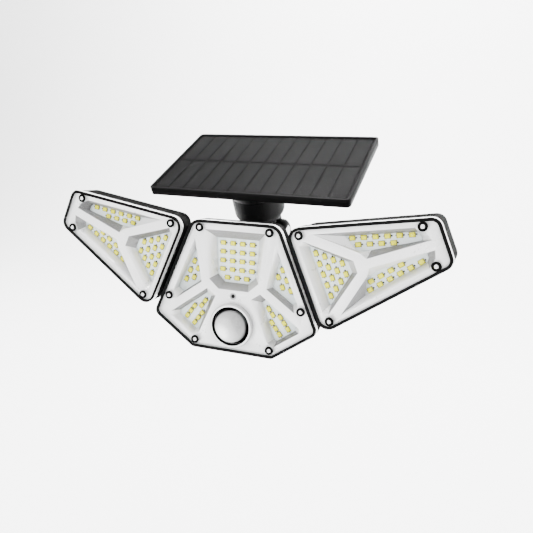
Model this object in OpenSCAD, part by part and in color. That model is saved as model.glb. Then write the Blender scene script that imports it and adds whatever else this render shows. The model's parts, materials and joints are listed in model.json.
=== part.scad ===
// Motion sensor security light: three LED heads, a solar panel on a swivelling neck and a wall bracket.
// The wall is the plane y = 0, the light faces -y, z points up, and the origin is the middle of the
// wall plate's back. The pose drawn is the light as it hangs: one wing turned in, the panel tipped.

/* [Wall bracket] */
// Width of the wall plate
plate_w = 56; // [52:1:64]
// Height of the wall plate
plate_h = 70; // [64:1:84]
// Thickness of the wall plate
plate_t = 4; // [3:0.5:6]
// Distance between the two columns of wall screws
wall_hole_dx = 44; // [42:1:46]
// Distance between the two rows of wall screws
wall_hole_dz = 56; // [54:1:58]
// Diameter of a wall screw's hole
wall_hole_d = 4.5; // [4:0.1:5]
// Distance from the wall to the bolt on which the lamp tips
arm_reach = 72; // [68:1:82]
// Thickness of each cheek of the arm
cheek_t = 4; // [3:0.5:5]
// Height of the arm's beam
beam_h = 18; // [16:1:20]
// Width of the arm's foot on the wall plate
foot_w = 36; // [34:1:38]
// Height of the arm's foot on the wall plate
foot_h = 44; // [40:1:46]
// Height of the turret's seat above the tipping bolt
seat_h = 25.7; // [25:0.1:27]
// Distance from the tipping bolt back to the turret's axis
turret_step = 5.2; // [4.8:0.1:5.6]

/* [Lamp head] */
// Width of the head's top edge
head_top_w = 54.6; // [50:0.2:60]
// Width of the head at its widest
head_side_w = 106.6; // [102:0.2:112]
// Width of the head's bottom edge
head_low_w = 52.4; // [48:0.2:58]
// Height from the widest place up to the top edge
head_upper_h = 60.8; // [58:0.2:64]
// Height from the widest place down to the bottom edge
head_lower_h = 19.3; // [17:0.1:22]
// Height of the head's top edge above the tipping bolt
head_top_z = 53.9; // [53:0.1:56]
// Distance from the tipping bolt forward to the head's face
head_reach = 48; // [47:0.5:52]
// Corner radius at the head's top
head_top_r = 8; // [5:0.5:10]
// Corner radius at the head's sides and bottom
head_low_r = 4.5; // [4:0.5:8]
// Thickness of each head from its face to its flat back
slab_t = 11.4; // [11:0.1:13]
// Depth of the battery box behind the lamp's flat back
box_depth = 22.1; // [22:0.1:23]
// How far the battery box stays inside the head's outline
box_inset = 9; // [8:0.5:10]

/* [Wings] */
// Length of a wing from its hinge side to its outer end
wing_len = 81.6; // [76:0.2:88]
// Width of a wing at its hinge side
wing_inner_w = 64.2; // [62:0.2:66]
// Width of a wing at its outer end
wing_outer_w = 25.6; // [24:0.2:32]
// How far a wing's outer end hangs below its hinge side
wing_drop = 1; // [0:0.1:1.2]
// Corner radius at a wing's hinge side
wing_inner_r = 7; // [5:0.5:8]
// Corner radius at a wing's outer end
wing_outer_r = 5.5; // [5:0.5:8]
// Gap between a wing and the head when they are in line
wing_gap = 3.8; // [3.6:0.1:5]
// Distance down the head's slanted edge to the middle of the wing
wing_mid = 35; // [34:0.1:36]
// Depth of the wing's hinge axis behind the face
hinge_depth = 15; // [14.9:0.1:16]
// Depth of the ribbed back that a wing has behind its slab
wing_back = 8.6; // [8:0.2:10]
// Angle to which the right wing is turned, outer end back
right_angle = -6.5; // [-11:0.5:45]
// Angle to which the left wing is turned, outer end back
left_angle = 2; // [-11:0.5:45]

/* [Front] */
// Width of the black rim round each clear front
trim_w = 1.3; // [1.2:0.1:1.5]
// Depth of the black rim
trim_depth = 0.9; // [0.8:0.1:1.2]
// Thickness of the silver band behind the black rim
bezel_w = 0.9; // [0.8:0.1:1]
// Depth of the silver band's back edge behind the face
bezel_depth = 4.2; // [3.8:0.1:4.4]
// Thickness of the clear front
lens_t = 1; // [0.8:0.1:1.2]
// Thickness of the silver reflector's walls
reflector_t = 1.2; // [1:0.1:1.4]
// Depth of the pockets in the reflector
pocket_depth = 5.4; // [5:0.1:5.5]
// Length of one LED
led_l = 3.5; // [3:0.1:3.5]
// Width of one LED
led_w = 2.8; // [2.4:0.1:2.8]
// Radius of the sensor's dome
dome_r = 10.3; // [9:0.1:11]
// Height of the sensor's dome above the face
dome_h = 7; // [6:0.1:8]
// Height of the ring round the dome above the face
ring_proud = 2.2; // [1.5:0.1:2.5]

/* [Solar panel] */
// Width of the solar panel
panel_w = 134; // [120:1:138]
// Depth of the solar panel
panel_d = 77; // [70:1:82]
// Thickness of the solar panel
panel_t = 5.2; // [5:0.1:7]
// Height from the neck's bolt to the panel's underside
neck_h = 35.9; // [35:0.1:40]
// Distance from the neck forward edge of the panel's middle
neck_shift = 18.6; // [12:0.5:20]
// Outer radius of the neck's cup
cup_r = 16.5; // [15:0.1:18]
// Radius of the turret
turret_r = 17.5; // [17:0.1:18]
// Width of the neck's tongue
tongue_w = 21; // [18:0.5:21]
// Angle at which the panel tips toward the front
panel_tilt = 29.2; // [12:0.2:36]
// Angle to which the panel is swivelled
panel_yaw = -3.8; // [-25:0.2:25]
// Number of columns of solar cells
cell_cols = 12; // [6:1:16]

/* [Hidden] */
$fn = 48;

// Colours
black = [0.05, 0.05, 0.055];
dark = [0.12, 0.12, 0.13];
silver = [0.86, 0.87, 0.88];
steel = [0.7, 0.71, 0.73];
pale_board = [0.86, 0.92, 0.88];
led_yellow = [0.95, 0.92, 0.45];

// Overrun of cuts, and the steps in a rounded corner
overrun = 0.5;
arc_steps = 6;
// Clearances: a running pin, a screw in its thread, a passing screw, stacked layers, sliding faces
pin_clear = 0.05;
thread_clear = 0.05;
pass_clear = 0.3;
layer_gap = 0.2;
side_gap = 0.4;
move_gap = 0.3;

// Layers behind each face
trim_proud = 0.2;
trim_gap = 0.05;
reflector_y = lens_t + layer_gap;
floor_y = reflector_y + pocket_depth;
led_h = 0.8;
board_y = floor_y + led_h + trim_gap;
board_t = 1.2;
groove_w = 0.7;
groove_inset = 0.5;
flange_y = bezel_depth + groove_w;
flange_t = 2.3;
flange_step = 0.2;
wall = 1.8;
plate_inset = trim_w + trim_gap;
pocket_inset = wall + layer_gap;
board_inset = plate_inset + wall;
head_h = head_upper_h + head_lower_h;

// Face screws with their black sealing washers
screw_r = 1.1;
screw_head_r = 1.5;
screw_head_h = 0.8;
screw_l = 10.2;
washer_r = 2.6;
washer_t = 0.5;
boss_r = 3.3;
collar_r = 2.4;

// Places near the centre head's edges, as shares of half its width there and of its height from the top
center_screw_shares = [[0.752, 0.058], [0.885, 0.608], [0.728, 0.935]];
side_rim_shares = [[0.792, 0.146], [0.479, 0.476], [0.785, 0.629], [0.865, 0.574]];
side_floor_shares = [[0.774, 0.236], [0.53, 0.472], [0.763, 0.588], [0.846, 0.555]];
low_rim_shares = [[0.38, 0.519], [0.244, 0.57], [0.578, 0.885], [0.734, 0.91], [0.815, 0.776],
    [0.795, 0.741]];
low_floor_shares = [[0.41, 0.57], [0.356, 0.596], [0.611, 0.869], [0.683, 0.881], [0.749, 0.779],
    [0.725, 0.742]];
// Places of the top pocket, as shares of half the top edge and of the head's height from the top
top_rim_shares = [[0.715, 0.07], [-0.715, 0.07], [-0.586, 0.444], [-0.353, 0.515], [0.353, 0.515],
    [0.586, 0.444]];
top_floor_shares = [[0.502, 0.134], [-0.502, 0.134], [-0.451, 0.414], [-0.283, 0.471], [0.283, 0.471],
    [0.451, 0.414]];
// Other places of the centre head, as shares of half its greatest width and of its height from the top
dome_share = [0, 0.784];
light_sensor_share = [0, 0.559];
// LEDs of the top pocket: first place, step across and step down, and the places of the last row
top_led_share = [-0.3456, 0.172];
top_led_step_share = [0.2304, 0.067];
top_led_counts = [4, 4];
top_led_last_share = [-0.2304, 0.436];
top_led_last_count = 3;
// Rows of LEDs in the other pockets: first places, how many and the step to the next
side_led_row_shares = [[0.538, 0.337], [0.491, 0.392]];
side_led_counts = [3, 2];
side_led_step_share = [0.052, 0.074];
low_led_row_shares = [[0.533, 0.696], [0.395, 0.643], [0.437, 0.746]];
low_led_counts = [3, 2, 3];
low_led_step_share = [0.047, 0.042];

// Places of a wing, as shares of its length and of half its width there
wing_screw_shares = [[0.091, 0.842], [0.89, 0.711]];
inner_rim_shares = [[0.095, 0.728], [0.058, 0.646], [0.058, -0.646], [0.095, -0.728], [0.394, -0.14],
    [0.394, 0.14]];
inner_floor_shares = [[0.11, 0.599], [0.099, 0.585], [0.099, -0.585], [0.11, -0.599], [0.335, -0.125],
    [0.335, 0.125]];
long_rim_shares = [[0.182, 0.834], [0.448, 0.283], [0.483, 0.11], [0.913, 0.181], [0.897, 0.473],
    [0.842, 0.696]];
long_floor_shares = [[0.372, 0.695], [0.416, 0.334], [0.511, 0.259], [0.847, 0.203], [0.846, 0.407],
    [0.832, 0.514]];
// Share of the length at which a wing's middle line crosses its hinge's middle
wing_level_share = 0.4;
// Columns of LEDs beside the hinge, as shares of the length, how many stand in each, and their step
inner_led_column_shares = [0.131, 0.184, 0.236, 0.289];
inner_led_counts = [5, 4, 3, 2];
inner_led_step_share = 0.2;
// Rows of LEDs along a wing, as shares of its length and of half its hinge side, how many, and the step
long_led_row_shares = [[0.415, 0.467], [0.439, 0.331]];
long_led_counts = [6, 4];
long_led_step_share = [0.076, -0.0465];

// Sensor dome, its ring and the light sensor
ring_r = 13.6;
dome_lip = 1.6;
dome_wall = 0.8;
dome_flange_t = 1;
dome_cap = dome_h - ring_proud;
dome_curve_r = (dome_r * dome_r + dome_cap * dome_cap) / (2 * dome_cap);
pir_can_r = 4.1;
pir_can_h = 3.4;
light_sensor_r = 1.2;
wire_hole_r = 4;

// Rear box, battery and board
collar_depth = 12.2;
rear_gasket_t = 0.6;
box_r = 3;
box_room = 10.5;
box_top_in = 5.9;
box_low_in = 2.9;
box_side_up = 1;
box_side_down = 6;
rear_screw_edge = 3.6;
rear_screw_top = [2.2, 5];
rear_screw_r = 1.4;
rear_screw_head_r = 2.6;
rear_screw_head_h = 1.8;
pillar_r = 3.4;
battery_r = 9.2;
battery_l = 65;
battery_z = 3;
battery_tip_r = 2.9;
battery_tip_h = 1.2;
holder_t = 1.2;
holder_end_t = 1.2;
holder_end_h = 9;
control_shares = [[0.56, 0.505], [0.4, 0.23]];
control_t = 1.6;
standoff_h = 5;
standoff_r = 2.4;
chip_w = 9;
chip_h = 1.4;
button_place = [20.5, 24];
button_r = 4;
button_flange_r = 5;
button_flange_t = 1.2;
button_proud = 1.2;
button_travel = 1.2;
button_clear = 0.08;
switch_w = 6;
gland_place = [-22, 18];
gland_r = 4;
gland_h = 6;
gland_bore_r = 1.6;
gland_nut_r = 5.4;
gland_nut_h = 2.4;

// Wing hinges
barrel_r = 3.1;
hinge_pin_r = 1.25;
hinge_half = 26;
knuckle_l = 10;
knuckle_gap = 0.4;
leaf_l = 9;
leaf_t = 3;
back_start = 5.4;
fin_pitch = 1.5;
fin_gap = 0.75;
fin_depth = 0.8;
fin_back = 2;
fin_margin = 3;

// Tipping bolts
bolt_r = 2.5;
bolt_head_r = 4.6;
bolt_head_h = 3.2;
lug_r = 7.5;
web_t = 4;
foot_t = 4;
arm_screw_r = 1.9;
arm_screw_head_r = 3.6;
arm_screw_head_h = 2.2;
arm_screw_dz = 33;
cheek_r = 9;
seat_t = 4;
post_front = 12;
post_back = 17;

// Turret and neck
turret_base_t = 8;
turret_ear_r = 8.5;
turret_round = 4.5;
turret_stem_r = 6;
turret_screw_r = 2;
turret_screw_head_r = 3.8;
turret_screw_head_h = 2.4;
turret_screw_l = 12;
turret_washer_r = 9;
turret_washer_t = 1.2;
turret_drop = 9.3;
tongue_r = 8.2;
cup_bottom = 12.6;
cup_flat_r = 11;
cup_round = 5.4;
cup_wall = 2;
cup_flare = 3.4;
cup_flare_h = 5;
neck_screw_r = 1.3;
neck_screw_place = 11.4;
neck_screw_l = 6;
panel_screw_head_r = 2.4;
panel_screw_head_h = 1.4;
panel_rim = 1.5;
panel_r = 2.6;
recess_depth = 2.1;
backing_t = 1;
cell_t = 0.3;
cover_t = 0.5;
cell_gap = 0.9;
cell_margin = 3;
mid_gap = 1.6;
panel_groove = 0.4;
panel_gland_y = 22;

// Derived places
tilt_y = -arm_reach;
face_y = tilt_y - head_reach;
seat_z = seat_h;
neck_bolt_z = seat_h + move_gap + turret_base_t + turret_drop;
turret_stem_l = seat_t + 2 * move_gap;
turret_y = tilt_y + turret_step;
fork_half = tongue_w / 2 + side_gap;
arm_half = fork_half + cheek_t;
lug_half = fork_half - side_gap;
edge_run = (head_side_w - head_top_w) / 2;
slant = atan2(edge_run, head_upper_h);
edge_start = [head_top_w / 2, head_top_z];
hinge_place = edge_start + wing_mid * [sin(slant), -cos(slant)] + wing_gap / 2 * [cos(slant), sin(slant)];
box_half = battery_l / 2 + box_room;
box_top_half = head_top_w / 2 - box_top_in;
box_top_z = head_top_z - box_inset;
box_low_half = head_low_w / 2 - box_low_in;
box_low_z = head_top_z - head_h + box_inset;
battery_y = slab_t + holder_t + battery_r + pass_clear;
wire_hole_at = [0, head_top_z / 2];
fin_y = flange_y + flange_t + layer_gap;
fin_count = floor((wing_gap / 2 + wing_len - back_start - 2 * fin_margin) / fin_pitch);
back_y = slab_t + box_depth;
box_wall_y = back_y - wall;
control_y = box_wall_y - standoff_h - control_t;
switch_h = standoff_h - button_flange_t - button_travel - 2 * move_gap;

// Unit vector, and the point where two shifted edges meet
function unit(v) = v / norm(v);
function left_of(p, q) = unit([p[1] - q[1], q[0] - p[0]]);
function meet(p, n, a, q, m, b) =
    let (det = n[0] * m[1] - n[1] * m[0], u = n * p + a, v = m * q + b)
    [(u * m[1] - n[1] * v) / det, (n[0] * v - u * m[0]) / det];
// A convex outline with each edge moved in by a distance, one for all or one for each edge
function inset(points, by) =
    let (n = len(points))
    [for (i = [0 : n - 1])
        let (before = points[(i + n - 1) % n], here = points[i], after = points[(i + 1) % n])
        meet(here, left_of(before, here), is_list(by) ? by[(i + n - 1) % n] : by,
            here, left_of(here, after), is_list(by) ? by[i] : by)];
// An outline with its corners rounded
function rounded(points, radii) =
    let (n = len(points))
    [for (i = [0 : n - 1])
        let (here = points[i],
            a = unit(points[(i + n - 1) % n] - here),
            b = unit(points[(i + 1) % n] - here),
            half = acos(a * b) / 2, r = is_list(radii) ? radii[i] : radii,
            middle = here + unit(a + b) * r / sin(half), reach = r / tan(half), turn = acos(-(a * b)))
        for (k = [0 : arc_steps])
            middle + (sin((1 - k / arc_steps) * turn) * (here + a * reach - middle)
                + sin(k / arc_steps * turn) * (here + b * reach - middle)) / sin(turn)];

// Centre head's outline, counter-clockwise as seen from the front
center_points = [[head_top_w / 2, head_top_z], [-head_top_w / 2, head_top_z],
    [-head_side_w / 2, head_top_z - head_upper_h], [-head_low_w / 2, head_top_z - head_h],
    [head_low_w / 2, head_top_z - head_h], [head_side_w / 2, head_top_z - head_upper_h]];
center_radii = [head_top_r, head_top_r, head_low_r, head_low_r, head_low_r, head_low_r];
// Wing's outline beside its hinge axis
function wing_middle(share) = wing_drop * (wing_level_share - share);
function wing_half(share) = (wing_inner_w - (wing_inner_w - wing_outer_w) * share) / 2;
function wing_at(share) =
    [wing_gap / 2 + share[0] * wing_len, wing_middle(share[0]) + share[1] * wing_half(share[0])];
wing_points = [wing_at([0, 1]), wing_at([0, -1]), wing_at([1, -1]), wing_at([1, 1])];
wing_radii = [wing_inner_r, wing_inner_r, wing_outer_r, wing_outer_r];
wing_slope = atan2((wing_inner_w - wing_outer_w) / 2, wing_len);
wing_lean = atan2(wing_drop, wing_len);
// Outline of the rear box, wide enough for the battery
box_points = [[box_top_half, box_top_z], [-box_top_half, box_top_z],
    [-box_half, battery_z + box_side_up], [-box_half, battery_z - box_side_down],
    [-box_low_half, box_low_z], [box_low_half, box_low_z],
    [box_half, battery_z - box_side_down], [box_half, battery_z + box_side_up]];
function box_outline(by) = rounded(inset(box_points, by), max(box_r - by / 2, box_r / 2));

function center_half(share) = let (down = share * head_h) down < head_upper_h
    ? (head_top_w + (head_side_w - head_top_w) * down / head_upper_h) / 2
    : (head_side_w + (head_low_w - head_side_w) * (down - head_upper_h) / head_lower_h) / 2;
function edge_at(share) = [share[0] * center_half(share[1]), head_top_z - share[1] * head_h];
function top_at(share) = [share[0] * head_top_w / 2, head_top_z - share[1] * head_h];
function center_at(share) = [share[0] * head_side_w / 2, head_top_z - share[1] * head_h];
function wing_led_at(share) =
    [wing_gap / 2 + share[0] * wing_len, wing_middle(share[0]) + share[1] * wing_inner_w / 2];
function shrink(radii, by) = [for (r = radii) max(r - by, bezel_w)];
function center_outline(by) = rounded(inset(center_points, by), shrink(center_radii, by));
function wing_outline(by) = rounded(inset(wing_points, by), shrink(wing_radii, by));
function outline(head, by) = head == "center" ? center_outline(by) : wing_outline(by);
function edges_at(shares) = [for (s = shares) edge_at(s)];
function tops_at(shares) = [for (s = shares) top_at(s)];
function wings_at(shares) = [for (s = shares) wing_at(s)];
function flip_x(points) = [for (i = [len(points) - 1 : -1 : 0]) [-points[i][0], points[i][1]]];
function flip_z(points) = [for (i = [len(points) - 1 : -1 : 0]) [points[i][0], -points[i][1]]];

center_screws_at = let (p = edges_at(center_screw_shares)) concat(p, flip_x(p));
wing_screws_at = concat(wings_at(wing_screw_shares), wings_at(flip_z(wing_screw_shares)));
function screws_at(head) = head == "center" ? center_screws_at : wing_screws_at;

side_rim = edges_at(side_rim_shares);
side_floor = edges_at(side_floor_shares);
low_rim = edges_at(low_rim_shares);
low_floor = edges_at(low_floor_shares);
center_pockets = [[tops_at(top_rim_shares), tops_at(top_floor_shares)],
    [side_rim, side_floor], [flip_x(side_rim), flip_x(side_floor)],
    [low_rim, low_floor], [flip_x(low_rim), flip_x(low_floor)]];
wing_pockets = [[wings_at(inner_rim_shares), wings_at(inner_floor_shares)],
    [wings_at(long_rim_shares), wings_at(long_floor_shares)],
    [wings_at(flip_z(long_rim_shares)), wings_at(flip_z(long_floor_shares))]];
function pockets(head) = head == "center" ? center_pockets : wing_pockets;
control_low = center_at(control_shares[0]);
control_high = center_at(control_shares[1]);
control_points = [control_high, [-control_high[0], control_high[1]], [-control_low[0], control_low[1]],
    control_low];
standoffs_at = inset(control_points, standoff_r + layer_gap);
rear_screws_at = let (p = [[box_half - rear_screw_edge, battery_z + (box_side_up - box_side_down) / 2],
    [box_top_half - rear_screw_top[0], box_top_z - rear_screw_top[1]]]) concat(p, flip_x(p));
dome_at = center_at(dome_share);
light_sensor_at = center_at(light_sensor_share);

// A flat piece whose outline lies in x and z, from depth y0 to depth y1
module slice(points, y0, y1) {
    translate([0, y1, 0]) rotate([90, 0, 0]) linear_extrude(y1 - y0) polygon(points);
}
// A round bar along y at a place in x and z
module rod_y(at, r, y0, y1) {
    translate([at[0], y1, at[1]]) rotate([90, 0, 0]) cylinder(h = y1 - y0, r = r);
}
// A round bar along x at a place in y and z
module rod_x(at, r, x0, x1) {
    translate([x0, at[0], at[1]]) rotate([0, 90, 0]) cylinder(h = x1 - x0, r = r);
}
// A six-sided bar along x at a place in y and z
module hex_x(at, r, x0, x1) {
    translate([x0, at[0], at[1]]) rotate([0, 90, 0]) cylinder(h = x1 - x0, r = r, $fn = 6);
}
// A box between two corners
module block(low, high) {
    translate(low) cube(high - low);
}
// A solid between one outline at depth y0 and another with as many points at depth y1
module loft(front, back, y0, y1) {
    n = len(front);
    polyhedron(
        points = concat([for (p = front) [p[0], y0, p[1]]], [for (p = back) [p[0], y1, p[1]]]),
        faces = concat([[for (i = [n - 1 : -1 : 0]) i]], [[for (i = [0 : n - 1]) n + i]],
            [for (i = [0 : n - 1]) [i, (i + 1) % n, n + (i + 1) % n]],
            [for (i = [0 : n - 1]) [i, n + (i + 1) % n, n + i]]));
}
// Shapes both on the right and mirrored on the left
module both_sides() {
    children();
    mirror([1, 0, 0]) children();
}
// The frame of the centre head: its face at y = 0
module center_frame() {
    translate([0, face_y, 0]) children();
}
// The frame of a wing beside its hinge axis, its face at y = 0
module right_frame() {
    translate([hinge_place[0], face_y + hinge_depth, hinge_place[1]]) rotate([0, -slant, 0])
        rotate([0, 0, right_angle]) translate([0, -hinge_depth, 0]) children();
}
module left_frame() {
    mirror([1, 0, 0]) translate([hinge_place[0], face_y + hinge_depth, hinge_place[1]])
        rotate([0, -slant, 0]) rotate([0, 0, left_angle]) translate([0, -hinge_depth, 0]) children();
}
// The hinge edge of the head itself, before a wing turns
module hinge_frame() {
    translate([hinge_place[0], hinge_depth, hinge_place[1]]) rotate([0, -slant, 0]) children();
}
// The turret's frame, on its axis at the height of the neck's bolt, and the panel's frame
module turret_frame() {
    translate([0, turret_y, neck_bolt_z]) rotate([0, 0, panel_yaw]) children();
}
module panel_frame() {
    turret_frame() rotate([panel_tilt, 0, 0]) children();
}

// Silver band round a head, held in the channel of the seal
module bezel(head) {
    color(silver) difference() {
        slice(outline(head, 0), trim_depth, bezel_depth);
        slice(outline(head, bezel_w), trim_depth - overrun, bezel_depth + overrun);
    }
}
// Black seal: the rim in front, a wall inside the silver band and a lip behind it
module gasket(head) {
    color(black) difference() {
        union() {
            slice(outline(head, trim_proud), -trim_proud, 0);
            slice(outline(head, 0), 0, trim_depth);
            slice(outline(head, bezel_w), trim_depth, bezel_depth);
            slice(outline(head, groove_inset), bezel_depth, flange_y);
        }
        slice(outline(head, trim_w), -trim_proud - overrun, flange_y + overrun);
    }
}
// Clear front with holes for the screws
module lens(head) {
    color([0.9, 0.95, 1, 0.25]) difference() {
        slice(outline(head, plate_inset), 0, lens_t);
        for (p = screws_at(head)) rod_y(p, screw_r + pass_clear, -overrun, lens_t + overrun);
        if (head == "center") {
            rod_y(dome_at, ring_r + layer_gap, -overrun, lens_t + overrun);
            rod_y(light_sensor_at, light_sensor_r + pass_clear, -overrun, lens_t + overrun);
        }
    }
}
// Silver reflector: a thin plate with sloped pockets and a collar for each screw
module reflector(head) {
    color(silver) difference() {
        union() {
            slice(outline(head, plate_inset), reflector_y, reflector_y + reflector_t);
            intersection() {
                slice(outline(head, pocket_inset), reflector_y, floor_y);
                union() {
                    for (p = pockets(head))
                        loft(inset(p[0], -reflector_t), inset(p[1], -reflector_t), reflector_y, floor_y);
                    for (p = screws_at(head)) rod_y(p, collar_r, reflector_y, floor_y);
                }
            }
        }
        for (p = pockets(head)) loft(p[0], p[1], reflector_y, floor_y);
        for (p = pockets(head)) slice(p[0], reflector_y - overrun, reflector_y);
        for (p = pockets(head)) slice(p[1], floor_y, floor_y + overrun);
        for (p = screws_at(head)) rod_y(p, screw_r + pass_clear, reflector_y - overrun, floor_y + overrun);
        if (head == "center") {
            rod_y(dome_at, dome_r + dome_lip, reflector_y - overrun, floor_y + overrun);
            rod_y(light_sensor_at, light_sensor_r + layer_gap, reflector_y - overrun, floor_y + overrun);
        }
    }
}
// Circuit board that carries the LEDs
module led_board(head) {
    color(pale_board) difference() {
        slice(outline(head, board_inset), board_y, board_y + board_t);
        for (p = screws_at(head))
            rod_y(p, screw_r + pass_clear, board_y - overrun, board_y + board_t + overrun);
    }
}
// One LED at a place, turned in the board's plane
module led(at, turn) {
    translate([at[0], board_y - led_h, at[1]]) rotate([0, -turn, 0])
        translate([-led_l / 2, 0, -led_w / 2]) cube([led_l, led_h, led_w]);
}
// Screws through the face
module face_screws(head) {
    color(steel) for (p = screws_at(head)) {
        translate([p[0], -washer_t, p[1]]) rotate([90, 0, 0]) rotate_extrude()
            polygon(concat([[0, 0], [screw_head_r, 0]],
                [for (k = [1 : arc_steps])
                    [screw_head_r * cos(90 * k / arc_steps), screw_head_h * sin(90 * k / arc_steps)]]));
        rod_y(p, screw_r, -washer_t, screw_l);
    }
}
// Black sealing washers under the screw heads
module washers(head) {
    color(black) for (p = screws_at(head)) difference() {
        rod_y(p, washer_r, -washer_t, 0);
        rod_y(p, screw_r + thread_clear, -washer_t - overrun, overrun);
    }
}
// Threaded bosses in a housing, from a depth down to the board's back
module boss_cuts(head, depth) {
    for (p = screws_at(head)) rod_y(p, screw_r + thread_clear, board_y + board_t, depth);
}

module wall_plate() {
    half = [plate_w / 2, plate_h / 2];
    color(black) difference() {
        slice(rounded([half, [-half[0], half[1]], -half, [half[0], -half[1]]], box_r), -plate_t, 0);
        for (x = [-wall_hole_dx / 2, wall_hole_dx / 2], z = [-wall_hole_dz / 2, wall_hole_dz / 2])
            rod_y([x, z], wall_hole_d / 2, -plate_t - overrun, overrun);
        for (z = [-1, 1])
            rod_y([0, z * arm_screw_dz / 2], arm_screw_r + thread_clear, -plate_t - overrun, overrun);
    }
}
module bracket_arm() {
    half = [foot_w / 2, foot_h / 2];
    foot_y = -plate_t - foot_t;
    color(black) difference() {
        union() {
            slice(rounded([half, [-half[0], half[1]], -half, [half[0], -half[1]]], box_r),
                foot_y, -plate_t);
            both_sides() {
                block([fork_half, tilt_y, -beam_h / 2], [arm_half, foot_y + overrun, beam_h / 2]);
                rod_x([tilt_y, 0], cheek_r, fork_half, arm_half);
                block([fork_half, turret_y - post_front, 0],
                    [arm_half, turret_y + post_back, seat_z - seat_t / 2]);
            }
            block([-arm_half, turret_y + post_back - web_t, -beam_h / 2],
                [arm_half, turret_y + post_back, seat_z - seat_t / 2]);
            translate([0, turret_y, seat_z - seat_t]) cylinder(h = seat_t, r = turret_r);
        }
        rod_x([tilt_y, 0], bolt_r + thread_clear, -arm_half - overrun, arm_half + overrun);
        translate([0, turret_y, seat_z - seat_t - overrun])
            cylinder(h = seat_t + 2 * overrun, r = turret_stem_r + pin_clear);
        for (z = [-1, 1])
            rod_y([0, z * arm_screw_dz / 2], arm_screw_r + pass_clear,
                foot_y - overrun, -plate_t + overrun);
    }
}
module arm_screws() {
    foot_y = -plate_t - foot_t;
    color(steel) for (z = [-1, 1]) {
        rod_y([0, z * arm_screw_dz / 2], arm_screw_head_r, foot_y - arm_screw_head_h, foot_y);
        rod_y([0, z * arm_screw_dz / 2], arm_screw_r, foot_y - overrun, -overrun);
    }
}
// Hex bolt along x with its shank through the cheeks
module lamp_tilt_bolt() {
    color(steel) {
        hex_x([tilt_y, 0], bolt_head_r, arm_half, arm_half + bolt_head_h);
        rod_x([tilt_y, 0], bolt_r, -arm_half - 2 * bolt_head_h, arm_half + overrun);
    }
}
module lamp_tilt_nut() {
    color(steel) difference() {
        hex_x([tilt_y, 0], bolt_head_r, -arm_half - bolt_head_h, -arm_half);
        rod_x([tilt_y, 0], bolt_r + thread_clear, -arm_half - bolt_head_h - overrun, -arm_half + overrun);
    }
}

module panel_turret() {
    base_z = -turret_drop - turret_base_t;
    color(black) turret_frame() difference() {
        union() {
            translate([0, 0, base_z]) cylinder(h = turret_base_t, r = turret_r);
            translate([0, 0, base_z - turret_stem_l])
                cylinder(h = turret_stem_l + overrun, r = turret_stem_r);
            both_sides() {
                rotate([0, 90, 0]) rotate_extrude() polygon(concat(
                    [[0, fork_half], [turret_ear_r, fork_half], [turret_ear_r, turret_r - turret_round]],
                    [for (k = [1 : arc_steps])
                        [turret_ear_r - turret_round * (1 - cos(90 * k / arc_steps)),
                            turret_r - turret_round + turret_round * sin(90 * k / arc_steps)]],
                    [[0, turret_r]]));
                block([fork_half, -turret_ear_r, -turret_drop - overrun],
                    [turret_r - turret_round, turret_ear_r, 0]);
            }
        }
        rod_x([0, 0], bolt_r + thread_clear, -turret_r - overrun, turret_r + overrun);
        hex_x([0, 0], bolt_head_r + layer_gap, turret_r - bolt_head_h, turret_r + overrun);
        hex_x([0, 0], bolt_head_r + layer_gap, -turret_r - overrun, bolt_head_h - turret_r);
        translate([0, 0, base_z - turret_stem_l - overrun])
            cylinder(h = turret_screw_l, r = turret_screw_r + thread_clear);
    }
}
module turret_washer() {
    top = -turret_drop - turret_base_t - turret_stem_l;
    color(steel) turret_frame() difference() {
        translate([0, 0, top - turret_washer_t]) cylinder(h = turret_washer_t, r = turret_washer_r);
        translate([0, 0, top - turret_washer_t - overrun])
            cylinder(h = turret_washer_t + 2 * overrun, r = turret_screw_r + thread_clear);
    }
}
module turret_screw() {
    top = -turret_drop - turret_base_t - turret_stem_l - turret_washer_t;
    color(steel) turret_frame() {
        translate([0, 0, top - turret_screw_head_h])
            cylinder(h = turret_screw_head_h, r = turret_screw_head_r);
        translate([0, 0, top - overrun]) cylinder(h = turret_screw_l - overrun, r = turret_screw_r);
    }
}
module panel_tilt_bolt() {
    color(steel) turret_frame() {
        hex_x([0, 0], bolt_head_r, turret_r - bolt_head_h, turret_r - layer_gap);
        rod_x([0, 0], bolt_r, layer_gap - turret_r, turret_r - bolt_head_h + overrun);
    }
}
module panel_tilt_nut() {
    color(steel) turret_frame() difference() {
        hex_x([0, 0], bolt_head_r, layer_gap - turret_r, bolt_head_h - turret_r);
        rod_x([0, 0], bolt_r + thread_clear, -turret_r, bolt_head_h - turret_r + overrun);
    }
}

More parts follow.
